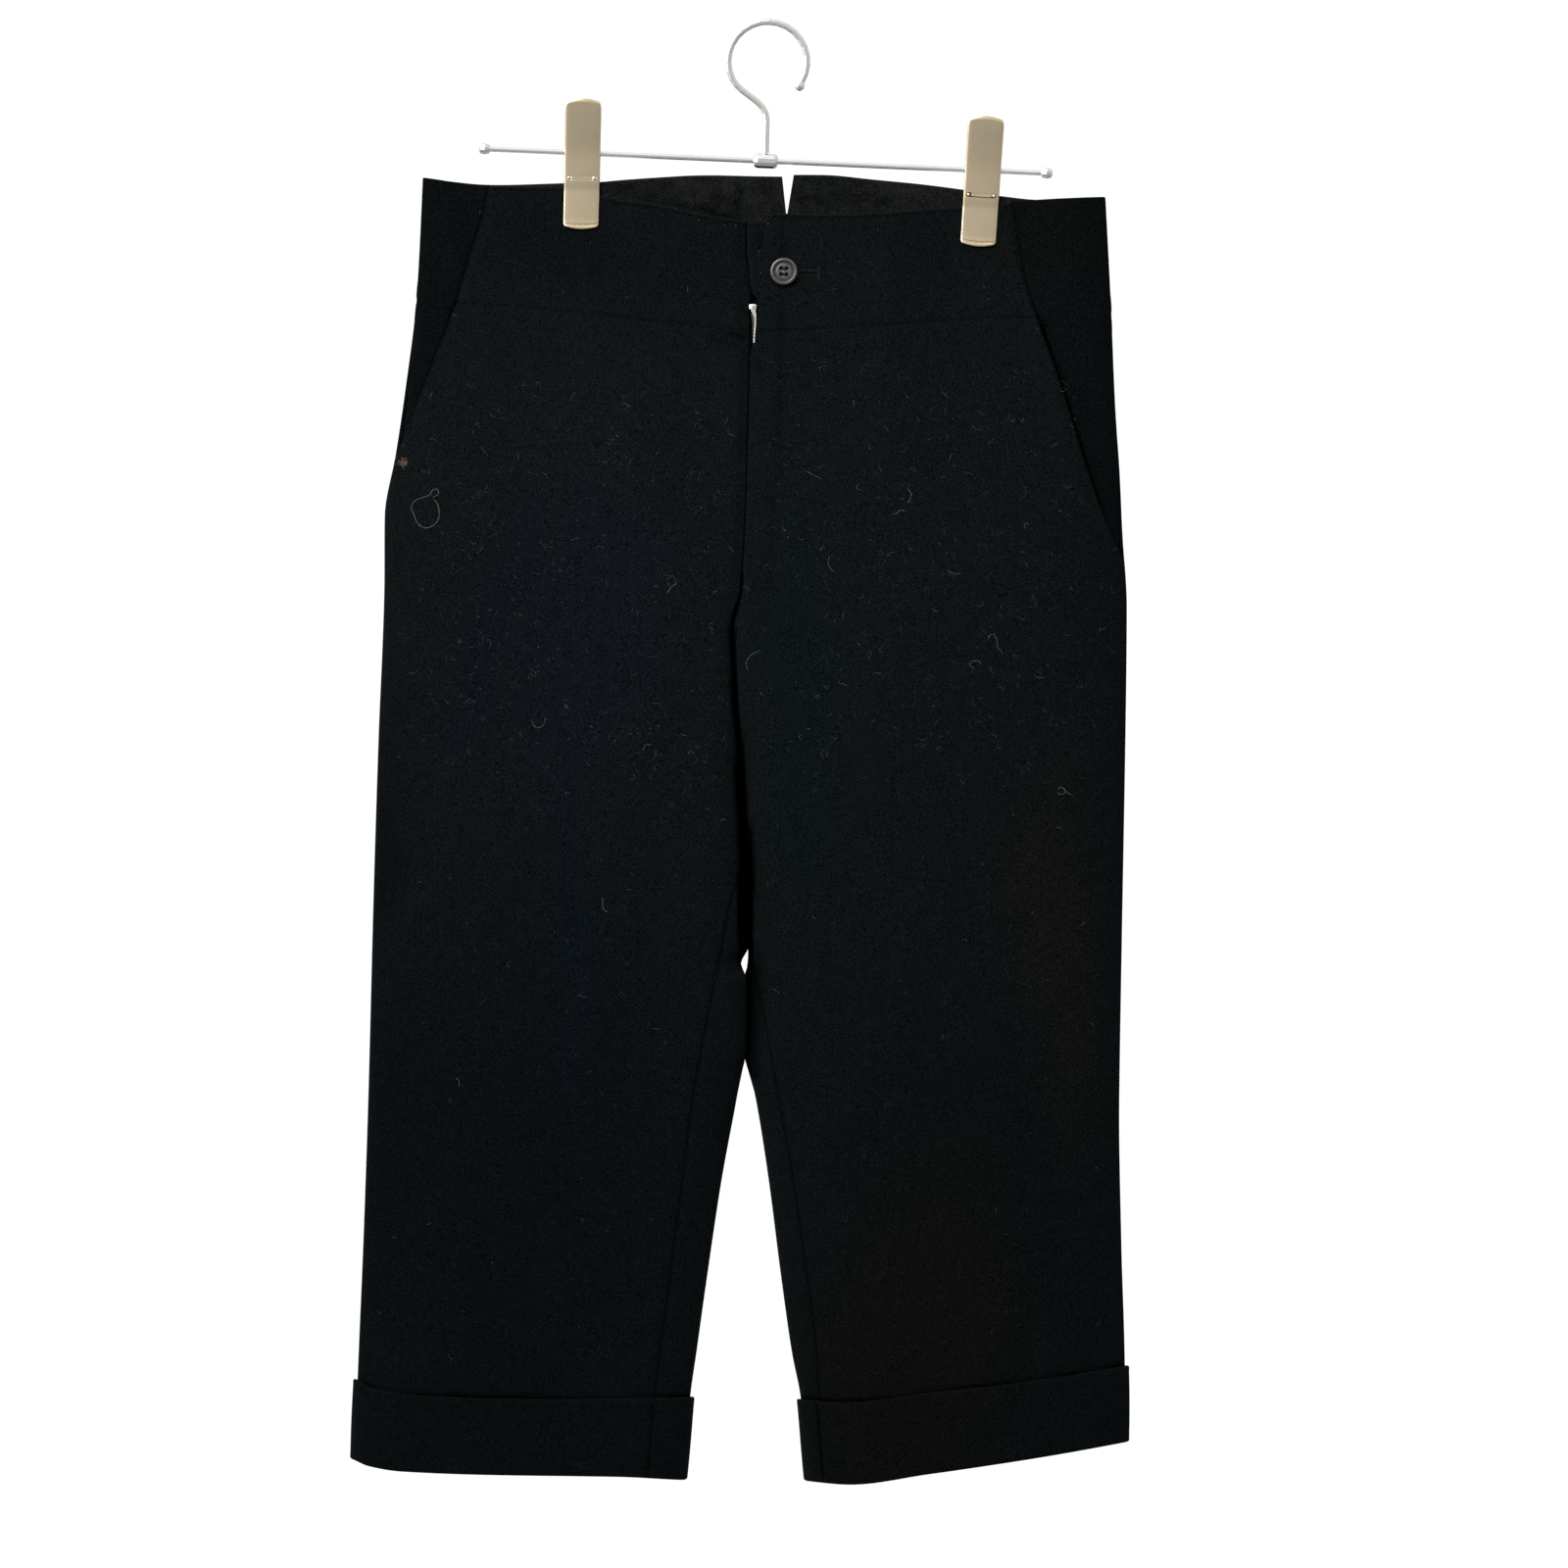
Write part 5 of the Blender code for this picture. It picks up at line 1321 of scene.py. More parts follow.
def lint_fibre(name, dark, light):
    shader = Shader(name)
    colour = shader.mix(shader.noise(160.0, 1.0), dark, light)
    shader.set(color=colour, roughness=0.75, specular=0.2, sheen=0.2)
    return shader.material


def floor_paint():
    shader = Shader("pale_floor")
    soft = shader.noise(3.0, 3.0)
    shader.set(color=shader.mix(soft, (0.86, 0.86, 0.85), (0.9, 0.9, 0.89)), roughness=0.7, specular=0.2)
    return shader.material


# Metal parts


def hang_on_rod(item, side):
    """Moves a clip's piece from the clip's own frame, centred on the rod, to its place."""
    x = CLIP_X[side]
    turn = Matrix.Rotation(math.radians(CLIP_TILT[side]), 4, "Y")
    item.data.transform(Matrix.Translation(Vector((x, 0.0, ROD_Z + ROD_SLOPE * x)) * MM) @ turn)


# One leaf of a clip, from its tail to its jaw: height over the rod, distance of the inner face from the
# middle, half width and how deep the side flanges turn in.
LEAF = Table(
    "z inner half flange",
    (-40.8, 3.5, 9.0, 0.15), (-39.2, 3.0, 9.7, 0.15), (-37.2, 2.65, 9.9, 0.15), (-21.0, 2.65, 9.9, 0.15),
    (-17.0, 3.1, 9.9, 0.6), (-10.0, 3.6, 9.9, 1.2), (0.0, 4.4, 9.9, 2.0), (12.0, 6.2, 9.9, 2.6),
    (24.0, 8.2, 9.9, 2.4), (27.0, 8.7, 9.5, 1.2), (28.2, 8.9, 8.7, 0.4))
LEAF_WALL = 1.0
LEAF_CORNER = 0.95
LEAF_LIP = 0.85
LEAF_BOW = 0.22
LEAF_CROWN = 1.6
PIN_X = 7.0
SLOT_Z = -13.9
SLOT_HALF = 8.3
SLOT_RISE = 1.25

# How far the leaf's face is set back near its ends: a bevel at the tail, a groove and a lip at the jaw.
LEAF_FACE = Table(
    "z back",
    (-40.8, 0.85), (-40.6, 0.35), (-40.25, 0.08), (-39.7, 0.0), (-39.3, 0.1), (-39.1, 0.6), (-38.8, 0.6),
    (-38.6, 0.1), (-38.3, 0.0), (0.0, 0.0), (26.6, 0.0), (27.1, 0.18), (27.6, 0.42), (28.0, 0.7),
    (28.2, 0.9))
LEAF_ROWS = [-40.8, -40.7, -40.6, -40.45, -40.25, -40.0, -39.7, -39.4, -39.3, -39.2, -39.1, -38.95, -38.8,
             -38.7, -38.6, -38.45, -38.3, -37.5]
LEAF_ROWS += [-36.0 + 1.5 * i for i in range(41)]
LEAF_ROWS += [25.0, 25.8, 26.4, 26.8, 27.1, 27.35, 27.6, 27.8, 28.0, 28.1, 28.2]


def cut_out(item, cutter):
    """Takes a closed form out of a piece."""
    cut = item.modifiers.new("cut", "BOOLEAN")
    cut.operation = "DIFFERENCE"
    cut.solver = "EXACT"
    cut.object = cutter
    shape = bpy.data.meshes.new_from_object(item.evaluated_get(bpy.context.evaluated_depsgraph_get()))
    item.modifiers.clear()
    item.data = shape
    bpy.data.objects.remove(cutter)


def leaf_section(z):
    """The leaf's cross-section at a height, as x and the distance from the middle plane."""
    inner, half, flange = (float(LEAF(name, z)) for name in ("inner", "half", "flange"))
    set_back = float(LEAF_FACE("back", z))
    face = inner + LEAF_WALL
    corner = LEAF_CORNER
    outer = [(-half, inner - flange), (-half, face - corner)]
    outer += arc(-half + corner, face - corner, corner, [160, 135, 112])
    for share in np.linspace(-1.0, 1.0, 11):
        outer.append((share * (half - corner), face + LEAF_BOW * (1 - share * share)))
    outer += arc(half - corner, face - corner, corner, [68, 45, 20])
    outer += [(half, face - corner), (half, inner - flange)]
    edge = half - LEAF_LIP
    flange_inside = [(edge, inner - flange), (edge, inner - 0.3), (edge - 0.3, inner)]
    inside = flange_inside + [(x, inner) for x in np.linspace(half * 0.7, -half * 0.7, 5)]
    inside += [(-x, y) for x, y in reversed(flange_inside)]
    outer = [(x, max(y - set_back, inner + 0.05) if y > inner else y) for x, y in outer]
    return outer + inside, half


def clip_leaf(side, facing, material):
    """Pressed leaf, crowned at both ends, with turned-in sides, a slot and a rolled jaw lip."""
    rings = []
    for z in LEAF_ROWS:
        section, half = leaf_section(z)
        crown = LEAF_CROWN * float(smooth_step((z - 20.0) / 9.0) - smooth_step((-36.0 - z) / 6.0))
        rings.append([(x, facing * y, z + crown * (1 - (x / half) ** 2)) for x, y in section])
    parts = Parts()
    parts.rings(rings)
    face = "front" if facing < 0 else "back"
    item = parts.build("clip_" + SIDE_NAMES[side] + "_" + face + "_leaf", material, 35.0)
    outline = arc(SLOT_HALF - SLOT_RISE, SLOT_Z, SLOT_RISE, np.linspace(-90, 90, 9))
    outline += [(-x, 2 * SLOT_Z - z) for x, z in outline]
    slot = Parts()
    slot.rings([[(x, facing * y, z) for x, z in outline] for y in (1.5, 9.5)])
    cut_out(item, slot.build("slot_cutter", material))
    hang_on_rod(item, side)
    item.data.set_sharp_from_angle(angle=math.radians(35.0))
    return item


def clip_pins(side, material):
    """The rounded ends of the spring's wire, which stand out of the slots at both ends of the tongue."""
    parts = Parts()
    face = float(LEAF("inner", SLOT_Z)) + LEAF_WALL
    profile = ((-2.2, 0.85), (-0.2, 0.95), (0.25, 0.9), (0.55, 0.7), (0.75, 0.4), (0.82, 0.12))
    for facing in (-1, 1):
        for middle in (-PIN_X, PIN_X):
            parts.rings([[(x, facing * (face + out), z) for x, z in circle(middle, SLOT_Z, radius, 16)]
                         for out, radius in profile])
    item = parts.build("clip_" + SIDE_NAMES[side] + "_pins", material)
    hang_on_rod(item, side)
    return item


def front_y(x, z):
    """The left front's outer face at a place near the fly."""
    return -float(cloth_depth(LEFT, True, np.asarray(x, float), np.asarray(z, float)))


HOLE_ACROSS = 1.45
HOLE_UP = 1.6
BUTTON_LIFT = 0.5
BUTTON_LEAN = math.radians(-3.0)


def waist_button(material):
    """Four-hole button with a raised rim and a dished middle."""
    # Radius and distance out, from the back's edge round the rim to the middle
    profile = [(6.3, 0.0), (6.9, 0.12), (7.3, 0.5), (7.55, 1.1), (7.6, 1.7), (7.5, 2.3), (7.2, 2.8),
               (6.8, 3.1), (6.4, 3.2), (6.05, 3.1), (5.8, 2.7), (5.6, 2.0), (5.4, 1.4), (5.15, 1.1),
               (4.9, 1.1), (4.7, 1.5), (4.45, 1.95), (4.1, 2.15), (3.0, 2.1), (1.2, 2.0)]
    parts = Parts()
    parts.rings([[(x, -out, z) for x, z in circle(0.0, 0.0, radius, 72)] for radius, out in profile])
    item = parts.build("waist_button_turned", material)
    bore = ((1.0, 1.0), (-1.7, 1.0), (-1.92, 1.05), (-2.07, 1.18), (-2.5, 1.3))
    for across, up in ((-1, -1), (1, -1), (1, 1), (-1, 1)):
        hole = Parts()
        hole.rings([[(x, y, z) for x, z in circle(across * HOLE_ACROSS, up * HOLE_UP, radius, 20)]
                    for y, radius in bore])
        cut_out(item, hole.build("hole_cutter", material))
    lean = Matrix.Rotation(BUTTON_LEAN, 4, "X") @ Matrix.Rotation(BUTTON_LEAN, 4, "Z")
    centre = Vector((BUTTON_X, front_y(BUTTON_X, BUTTON_Z) - BUTTON_LIFT, BUTTON_Z))
    item.data.transform(Matrix.Translation(centre * MM) @ lean)
    item.data.set_sharp_from_angle(angle=math.radians(50.0))
    return item


def button_thread(material):
    """Two bars of thread across the button's holes and the wound shank behind it."""
    parts = Parts()
    y = front_y(BUTTON_X, BUTTON_Z) - BUTTON_LIFT
    for row in (-HOLE_UP, HOLE_UP):
        for strand in (-0.4, 0.0, 0.4):
            path = []
            for share in np.linspace(-1.0, 1.0, 9):
                x = BUTTON_X + share * (HOLE_ACROSS + 0.1)
                out = 2.2 + 0.3 * (1 - share ** 4) - 1.8 * max(abs(share) - 0.8, 0.0) / 0.2
                path.append((x, y - out, BUTTON_Z + row + strand * (1.0 - 0.25 * abs(share))))
            parts.tube(path, 0.22, 6)
    for turn in range(4):
        winding = arc(BUTTON_X, BUTTON_Z, 1.2, np.linspace(0, 360, 15))
        parts.tube([(x, y + 0.08 + 0.11 * turn, z) for x, z in winding], 0.12, 5)
    return parts.build("button_thread", material)


BUTTONHOLE = (3.0, 30.0)
BUTTONHOLE_Z = -136.5
SLIT_HALF = 0.5


def buttonhole(material):
    """Close stitches along both lips of the buttonhole, a cord round it and a bar tack at its end."""
    parts = Parts()
    start, end = BUTTONHOLE
    pitch = 0.52
    for lip in (-1, 1):
        for i in range(int((end - start) / pitch)):
            x = start + pitch * (i + 0.5)
            z = BUTTONHOLE_Z + lip * np.array([0.55, 0.75, 1.15, 1.55, 1.7])
            rise = np.array([-0.2, 0.12, 0.18, 0.08, -0.2])
            parts.tube(surface_at(LEFT, x + 0.05 * math.sin(i * 2.3), z, rise), 0.2, 6)
    for i in range(4):
        x = end + 0.1 + 0.3 * i
        z = BUTTONHOLE_Z + np.array([-4.6, -4.0, -1.8, 0.0, 1.8, 3.2, 3.7]) + 0.12 * math.sin(i * 1.9)
        rise = np.array([-0.2, 0.12, 0.24, 0.28, 0.24, 0.12, -0.2])
        parts.tube(surface_at(LEFT, x, z, rise), 0.18, 6)
    return parts.build("buttonhole", material)


def buttonhole_slit_shadow(material):
    """Painted shadow in the gap between the buttonhole's lips: a thin dark strip on the cloth."""
    parts = Parts()
    start, end = BUTTONHOLE
    rings = []
    for x in np.linspace(start, end, 28):
        half = SLIT_HALF * (0.3 if x in (start, end) else 1.0)
        corners = [(-half, -0.1), (half, -0.1), (half, 0.06), (-half, 0.06)]
        rings.append([tuple(surface_at(LEFT, x, BUTTONHOLE_Z + across, rise)) for across, rise in corners])
    parts.rings(rings)
    return parts.build("buttonhole_slit_shadow", material)


def bar_tacks(material):
    """The slanted tack at the foot of the fly, and one at each end of the pocket mouths."""
    parts = Parts()
    for i in range(7):
        shift = (i - 3) * 0.24
        share = np.linspace(0.0, 1.0, 7)
        x = -7.2 + 3.9 * share + shift * 0.6
        z = -309.2 - 3.3 * share + shift
        rise = 0.38 * np.sin(math.pi * share) - 0.08
        parts.tube(surface_at(LEFT, x, z, rise), 0.17, 6)
    for side in (RIGHT, LEFT):
        name = SIDE_NAMES[side]
        for z in (float(front_seam_z(SLANT(name, BAND_JUNCTION_Z))) - 7.0, POCKET_END[side] + 7.0):
            for i in range(6):
                edge = float(SLANT(name, z))
                x = side * (edge - np.linspace(0.3, 3.4, 6))
                rise = np.array([-0.5, 0.15, 0.34, 0.34, 0.2, -0.12])
                parts.tube(surface_at(side, x, z + (i - 2.5) * 0.3, rise), 0.16, 6)
    return parts.build("bar_tacks", material)


ZIP_PITCH = 1.45
ZIP_TOP_Z = HINGE_Z + 4.5


def zip_line(z):
    """The zip's middle at a height, and the depth of the cloth before it."""
    depth = max(float(cloth_depth(LEFT, True, np.asarray(x), np.asarray(z)))
                for x in (-TAPE_HALF / 2, 0.0, TAPE_HALF / 2))
    return float(FLY("zip", z)), depth


def zip_tapes(material):
    """Two woven tapes with a corded edge each, meeting under the teeth."""
    parts = Parts()
    face, back = TAPE_DEPTHS
    for half in (-1, 1):
        rings = []
        for z in np.linspace(ZIP_TOP_Z, FLY_END_Z, 64):
            middle, depth = zip_line(z)
            section = [(0.15, face - 0.9), (0.9, face - 1.15), (1.6, face - 0.8), (1.9, face - 0.1),
                       (TAPE_HALF - 0.3, face), (TAPE_HALF, face + 0.25), (TAPE_HALF - 0.3, back - 0.2),
                       (1.9, back - 0.2), (0.4, back - 0.3), (0.15, back - 0.6)]
            rings.append([(middle + half * x, -depth + behind, z) for x, behind in section])
        parts.rings(rings)
    return parts.build("zip_tapes", material)


def zip_teeth(material):
    """Interlocked metal teeth below the slider: bevelled blocks, left and right by turns."""
    parts = Parts()
    face = TAPE_DEPTHS[0]
    count = int((HINGE_Z - 4.5 - FLY_END_Z) / (ZIP_PITCH / 2))
    for i in range(count):
        z = HINGE_Z - 4.8 - i * ZIP_PITCH / 2
        middle, depth = zip_line(z)
        half = 1 if i % 2 else -1
        rings = []
        for out, grow in ((-1.1, 0.78), (-1.35, 0.95), (-2.1, 1.0), (-2.4, 0.86)):
            near, far = middle - half * 0.75 * grow, middle + half * 2.1 * grow
            low, high = z - 0.46 * grow, z + 0.46 * grow
            y = -depth + face + out
            rings.append([(near, y, low), (far, y, low), (far, y, high), (near, y, high)])
        parts.rings(rings)
    return parts.build("zip_teeth", material, 30.0)


# The pull tab: heights from the hinge, and its two edges from the slider's middle.
PULL = [(0.45, -1.05, 1.05), (0.2, -1.15, 1.15), (-2.6, -1.1, 1.15), (-4.2, -0.5, 1.6), (-6.4, 0.6, 1.6),
        (-10.5, 0.8, 1.6), (-15.0, 0.55, 1.25), (-18.8, 0.4, 1.1), (-19.6, 0.2, 1.25), (-20.2, 0.45, 1.0)]
PULL_HALF_WALL = 0.35
HINGE_Y = -16.394
HINGE_OUT = 1.0


def zip_slider(material):
    """Slider body with softened edges, and the arch on its face that the pull's bar turns in."""
    parts = Parts()
    face = HINGE_Y + HINGE_OUT
    half = [(1.2, 1.0), (1.65, 0.7), (1.5, -1.0), (1.15, -2.9), (0.8, -3.2)]
    outline = half + [(-0.8, -3.2), (-1.15, -2.9), (-1.35, -1.75), (-2.15, -1.5), (-2.25, 0.3), (-1.9, 0.85),
                      (-1.2, 1.0)]
    parts.rings([[(SLIDER_X + x * grow, face + back, HINGE_Z - 1.0 + (z + 1.0) * grow) for x, z in outline]
                 for back, grow in ((0.0, 0.88), (0.18, 1.0), (2.0, 1.0), (2.2, 0.92))])
    arch = [(face + 0.3, HINGE_Z - 1.5)]
    for radius, angles in ((1.5, range(-90, 91, 15)), (0.8, range(90, -91, -15))):
        arch += [(HINGE_Y - radius * math.cos(math.radians(a)), HINGE_Z + radius * math.sin(math.radians(a)))
                 for a in angles]
        arch.append((face + 0.3, arch[-1][1]))
    parts.rings([[(x, y, z) for y, z in arch] for x in (SLIDER_X - 0.45, SLIDER_X + 0.45)])
    return parts.build("zip_slider_cast", material, 35.0)


def zip_pull(material):
    """Slim pull tab with an eye round the slider's arch and a narrow blade, leaning a little."""
    parts = Parts()
    wall, soft = PULL_HALF_WALL, 0.12
    rings = []
    for z, near, far in PULL:
        section = [(near + soft, -wall), (far - soft, -wall), (far, soft - wall), (far, wall - soft),
                   (far - soft, wall), (near + soft, wall), (near, wall - soft), (near, soft - wall)]
        rings.append([(SLIDER_X + x, HINGE_Y + y, HINGE_Z + z) for x, y in section])
    parts.rings(rings)
    item = parts.build("zip_pull_tab", material, 35.0)
    eye = Parts()
    outline = [(-0.75, -0.45), (0.75, -0.45), (0.75, -1.95), (0.4, -2.3), (-0.4, -2.3), (-0.75, -1.95)]
    eye.rings([[(SLIDER_X + x, HINGE_Y + y, HINGE_Z + z) for x, z in outline] for y in (-2.0, 2.0)])
    cut_out(item, eye.build("eye_cutter", material))
    item.data.set_sharp_from_angle(angle=math.radians(35.0))
    return item


# Lint and stray threads: where they lie on the fronts, how many, and how long they are.
LINT_FIELDS = [
    # side, x from and to, z from and to, number, length from and to
    (RIGHT, -186, -14, -200, -330, 230, 1.2, 6.5),
    (RIGHT, -196, -14, -330, -420, 170, 1.2, 6.5),
    (RIGHT, -196, -16, -420, -560, 80, 1.0, 5.5),
    (RIGHT, -200, -40, -560, -740, 40, 1.0, 5.0),
    (LEFT, 2, 176, -185, -300, 270, 1.2, 6.5),
    (LEFT, 2, 196, -300, -400, 220, 1.2, 6.5),
    (LEFT, 8, 196, -400, -540, 80, 1.0, 5.5),
    (LEFT, 40, 200, -540, -730, 40, 1.0, 5.0),
    (RIGHT, -148, -14, -118, -160, 20, 1.0, 3.5),
    (LEFT, 26, 128, -112, -158, 20, 1.0, 4.5),
]
SPECKS = 240
CLUMPS = 34
WAIST_SPECKS = [(RIGHT, -21.6, -110.9), (RIGHT, -15.6, -111.2), (RIGHT, -36.0, -108.8), (LEFT, 1.8, -109.8),
                (LEFT, -2.1, -125.4), (LEFT, -1.9, -136.8), (RIGHT, -156.5, -106.6)]


def fibre(side, x, z, length, rng, curl):
    """A loose fibre lying on the cloth, as a path that bends one way and then another."""
    steps = max(5, int(length / 0.42))
    heading = rng.uniform(0, 2 * math.pi)
    bend = rng.uniform(-curl, curl)
    xs, zs = [x], [z]
    for i in range(steps):
        heading += bend + rng.uniform(-0.22, 0.22)
        if rng.random() < 0.17:
            bend = rng.uniform(-curl, curl)
        xs.append(xs[-1] + length / steps * math.cos(heading))
        zs.append(zs[-1] + length / steps * math.sin(heading))
    lift = 0.1 + 0.2 * rng.random() + 0.08 * np.sin(np.linspace(0, 3.0, steps + 1) + rng.uniform(0, 6))
    return surface_at(side, np.array(xs), np.array(zs), lift)


def lint(material):
    """Single fibres, small tangles of a few and tiny specks, most of them over the hips."""
    rng = random.Random(5)
    parts = Parts()
    for side, x0, x1, z0, z1, number, short, long in LINT_FIELDS:
        for _ in range(number):
            x, z = rng.uniform(x0, x1), rng.uniform(z1, z0)
            length = short + (long - short) * rng.random() ** 2.0
            parts.tube(fibre(side, x, z, length, rng, 0.5), 0.016 + 0.042 * rng.random() ** 3, 3)
    for _ in range(CLUMPS):
        side = rng.choice((LEFT, RIGHT))
        x, z = side * rng.uniform(20, 175), rng.uniform(-420, -205)
        for _ in range(rng.randint(2, 5)):
            near_x, near_z = x + rng.gauss(0, 1.6), z + rng.gauss(0, 1.6)
            path = fibre(side, near_x, near_z, rng.uniform(2.0, 6.5), rng, 0.65)
            parts.tube(path, rng.uniform(0.016, 0.032), 3)
    for _ in range(SPECKS):
        side = rng.choice((LEFT, RIGHT))
        x = side * rng.uniform(16, 180)
        z = rng.choice((rng.uniform(-420, -200), rng.uniform(-740, -200)))
        parts.tube(fibre(side, x, z, rng.uniform(0.25, 0.45), rng, 1.2), 0.04 + 0.06 * rng.random() ** 2, 4)
    for side, x, z in WAIST_SPECKS:
        parts.tube(fibre(side, x, z, 0.6, rng, 1.2), 0.17, 4)
    return parts.build("lint", material)


# The loop of thread below the right pocket, by x and z: round it, then round its small second turn.
LOOP = [
    (-178.8, -265.3), (-176.7, -267.6), (-175.4, -272.3), (-176.2, -277.1), (-179.1, -280.1),
    (-182.6, -281.2), (-185.5, -280.2), (-187.7, -277.9), (-189.5, -273.8), (-190.9, -270.5),
    (-190.2, -267.9), (-188.2, -265.8), (-184.7, -264.5), (-181.2, -263.0), (-179.5, -260.6),
    (-177.2, -259.7), (-175.9, -261.4), (-177.1, -263.2), (-179.2, -264.4),
]


def smooth_path(points, steps=5):
    """A soft curve through given points."""
    points = np.asarray(points, float)
    padded = np.concatenate([2 * points[:1] - points[1:2], points, 2 * points[-1:] - points[-2:-1]])
    path = []
    for a, b, c, d in zip(padded, padded[1:], padded[2:], padded[3:]):
        for t in np.arange(steps) / steps:
            path.append(0.5 * (2 * b + (c - a) * t + (2 * a - 5 * b + 4 * c - d) * t ** 2
                               + (3 * b - a - 3 * c + d) * t ** 3))
    return np.array(path + [points[-1]])


def long_threads(material):
    """The few threads that show from a step away: a loop by the pocket and curled hairs on the fronts."""
    parts = Parts()
    loop = smooth_path(LOOP)
    parts.tube(surface_at(RIGHT, loop[:, 0], loop[:, 1], 0.2), 0.075, 4)
    hairs = [
        # side, x, z, length, curl, seed
        (LEFT, 128, -336, 17, 0.5, 3), (LEFT, 124, -350, 12, 0.7, 8), (LEFT, 168, -418, 12, 0.6, 4),
        (LEFT, 176, -421, 7, 0.5, 9), (RIGHT, -122, -386, 13, 0.4, 6), (RIGHT, -78, -490, 9, 0.5, 12),
        (LEFT, 74, -268, 8, 0.6, 2), (LEFT, 82, -262, 9, 0.6, 14), (RIGHT, -158, -588, 6, 0.9, 21),
        (LEFT, 2, -345, 14, 0.3, 17), (RIGHT, -44, -308, 9, 0.1, 19), (LEFT, 26, -246, 9, 0.15, 23),
        (RIGHT, -56, -398, 7, 0.5, 25), (LEFT, 40, -292, 10, 0.3, 27), (LEFT, 112, -300, 8, 0.5, 29),
    ]
    for side, x, z, length, curl, seed in hairs:
        parts.tube(fibre(side, x, z, length, random.Random(seed), curl * 0.4), 0.05, 4)
    return parts.build("long_threads", material)


def pocket_tuft(material):
    """A small brownish tuft caught at the end of the right pocket."""
    rng = random.Random(11)
    parts = Parts()
    for _ in range(34):
        length = rng.uniform(1.2, 5.0)
        start_x, start_z = -196.5 + rng.gauss(0, 1.1), -246.0 + rng.gauss(0, 1.3)
        parts.tube(fibre(RIGHT, start_x, start_z, length, rng, 0.6), rng.uniform(0.07, 0.13), 3)
    return parts.build("pocket_tuft", material)


# Putting it together


def ride_and_slot(item, slot, *nodes, body=BODY):
    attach(item, body)
    if nodes:
        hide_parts(*nodes)


def outer_area(item):
    """Half the shell's surface, which is the area of its cloth in square metres."""
    return sum(face.area for face in item.data.polygons) / 2


def declare_cloth(item, width, length, rests_on):
    """Works out a cut piece's flat size, given in millimetres, and the area of its shape; neither is used
    further.
    """
    flat = (width * MM, length * MM)
    area = min(outer_area(item), flat[0] * flat[1])


# The cloth of each cut piece: the longest run across it, or round it for a cuff, and its height.
CUTS = {
    "front": {RIGHT: (220.0, 646.0), LEFT: (229.0, 646.0)},
    "back": {RIGHT: (252.0, 657.0), LEFT: (242.0, 657.0)},
    "front_band": {RIGHT: (197.0, 79.0), LEFT: (158.0, 77.0)},
    "back_band": {RIGHT: (209.0, 75.0), LEFT: (187.0, 76.0)},
    "side": {RIGHT: (42.0, 163.0), LEFT: (58.0, 209.0)},
    "cuff": {RIGHT: (402.0, 54.0), LEFT: (392.0, 70.0)},
}


def cloth_pieces():
    worsted = wool()
    facing = wool("band_facing", (0.0030, 0.0035, 0.0034), (0.0150, 0.0160, 0.0155), False, 1.6)
    for side in (LEFT, RIGHT):
        name = SIDE_NAMES[side]
        held_by = ["clip_" + name + "_front", "clip_" + name + "_back"]
        made = [
            ("front_band", front_band(side, worsted, facing), "front_band_" + name, held_by),
            ("back_band", back_band(side, worsted, facing), "back_band_" + name, held_by),
            ("front", front_panel(side, worsted), "front_panel_" + name, ["front_band_" + name]),
            ("back", back_panel(side, worsted), "back_panel_" + name, ["back_band_" + name]),
            ("side", side_piece(side, worsted), "side_panel_" + name, ["back_band_" + name]),
            ("cuff", cuff(side, worsted), "cuff_" + name, ["front_panel_" + name]),
        ]
        for cut, item, node, rests_on in made:
            ride_and_slot(item, "wool", node)
            declare_cloth(item, *CUTS[cut][side], rests_on)


def bevelled(node, width, material):
    """A carried-over solid with softened edges and its own finish."""
    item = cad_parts[node]
    soften = item.modifiers.new("edges", "BEVEL")
    soften.width = width * MM
    soften.segments = 2
    soften.limit_method = "ANGLE"
    soften.angle_limit = math.radians(40)
    for slot in item.material_slots:
        slot.material = material
    if not item.material_slots:
        item.data.materials.append(material)


def fittings():
    nickel = metal("satin_nickel", (0.83, 0.70, 0.49), 0.25, 0.3, (1.0, 1.0, 0.06))
    bright = metal("bright_nickel", (0.97, 0.96, 0.94), 0.3)
    chrome = metal("chrome_wire", (0.93, 0.92, 0.91), 0.24, 0.08)
    black_thread = thread("black_thread", (0.0150, 0.0180, 0.0190))
    for side in (LEFT, RIGHT):
        name = SIDE_NAMES[side]
        ride_and_slot(clip_leaf(side, -1, nickel), "clip_metal", "clip_" + name + "_front")
        ride_and_slot(clip_leaf(side, 1, nickel), "clip_metal", "clip_" + name + "_back")
        ride_and_slot(clip_pins(side, nickel), "clip_metal")
        bevelled("clip_" + name + "_spring", 0.12, nickel)
    bevelled("hanger_rod", 0.2, chrome)
    bevelled("hanger_hook", 0.1, chrome)
    ride_and_slot(zip_slider(bright), "zip_metal", "zip_slider")
    ride_and_slot(zip_pull(bright), "zip_metal", "zip_pull", body="pull")
    ride_and_slot(waist_button(polished_button("dark_horn")), "button", "waist_button")
    ride_and_slot(button_thread(black_thread), "wool")
    ride_and_slot(buttonhole(black_thread), "wool")
    ride_and_slot(buttonhole_slit_shadow(thread("slit_shadow", (0.0006, 0.0007, 0.0007))), "wool")
    ride_and_slot(bar_tacks(black_thread), "wool")
    ride_and_slot(zip_tapes(tape_cloth("zip_tape")), "zip_tape", "fly_zip")
    ride_and_slot(zip_teeth(metal("dark_teeth", (0.16, 0.155, 0.145), 0.4)), "zip_metal")


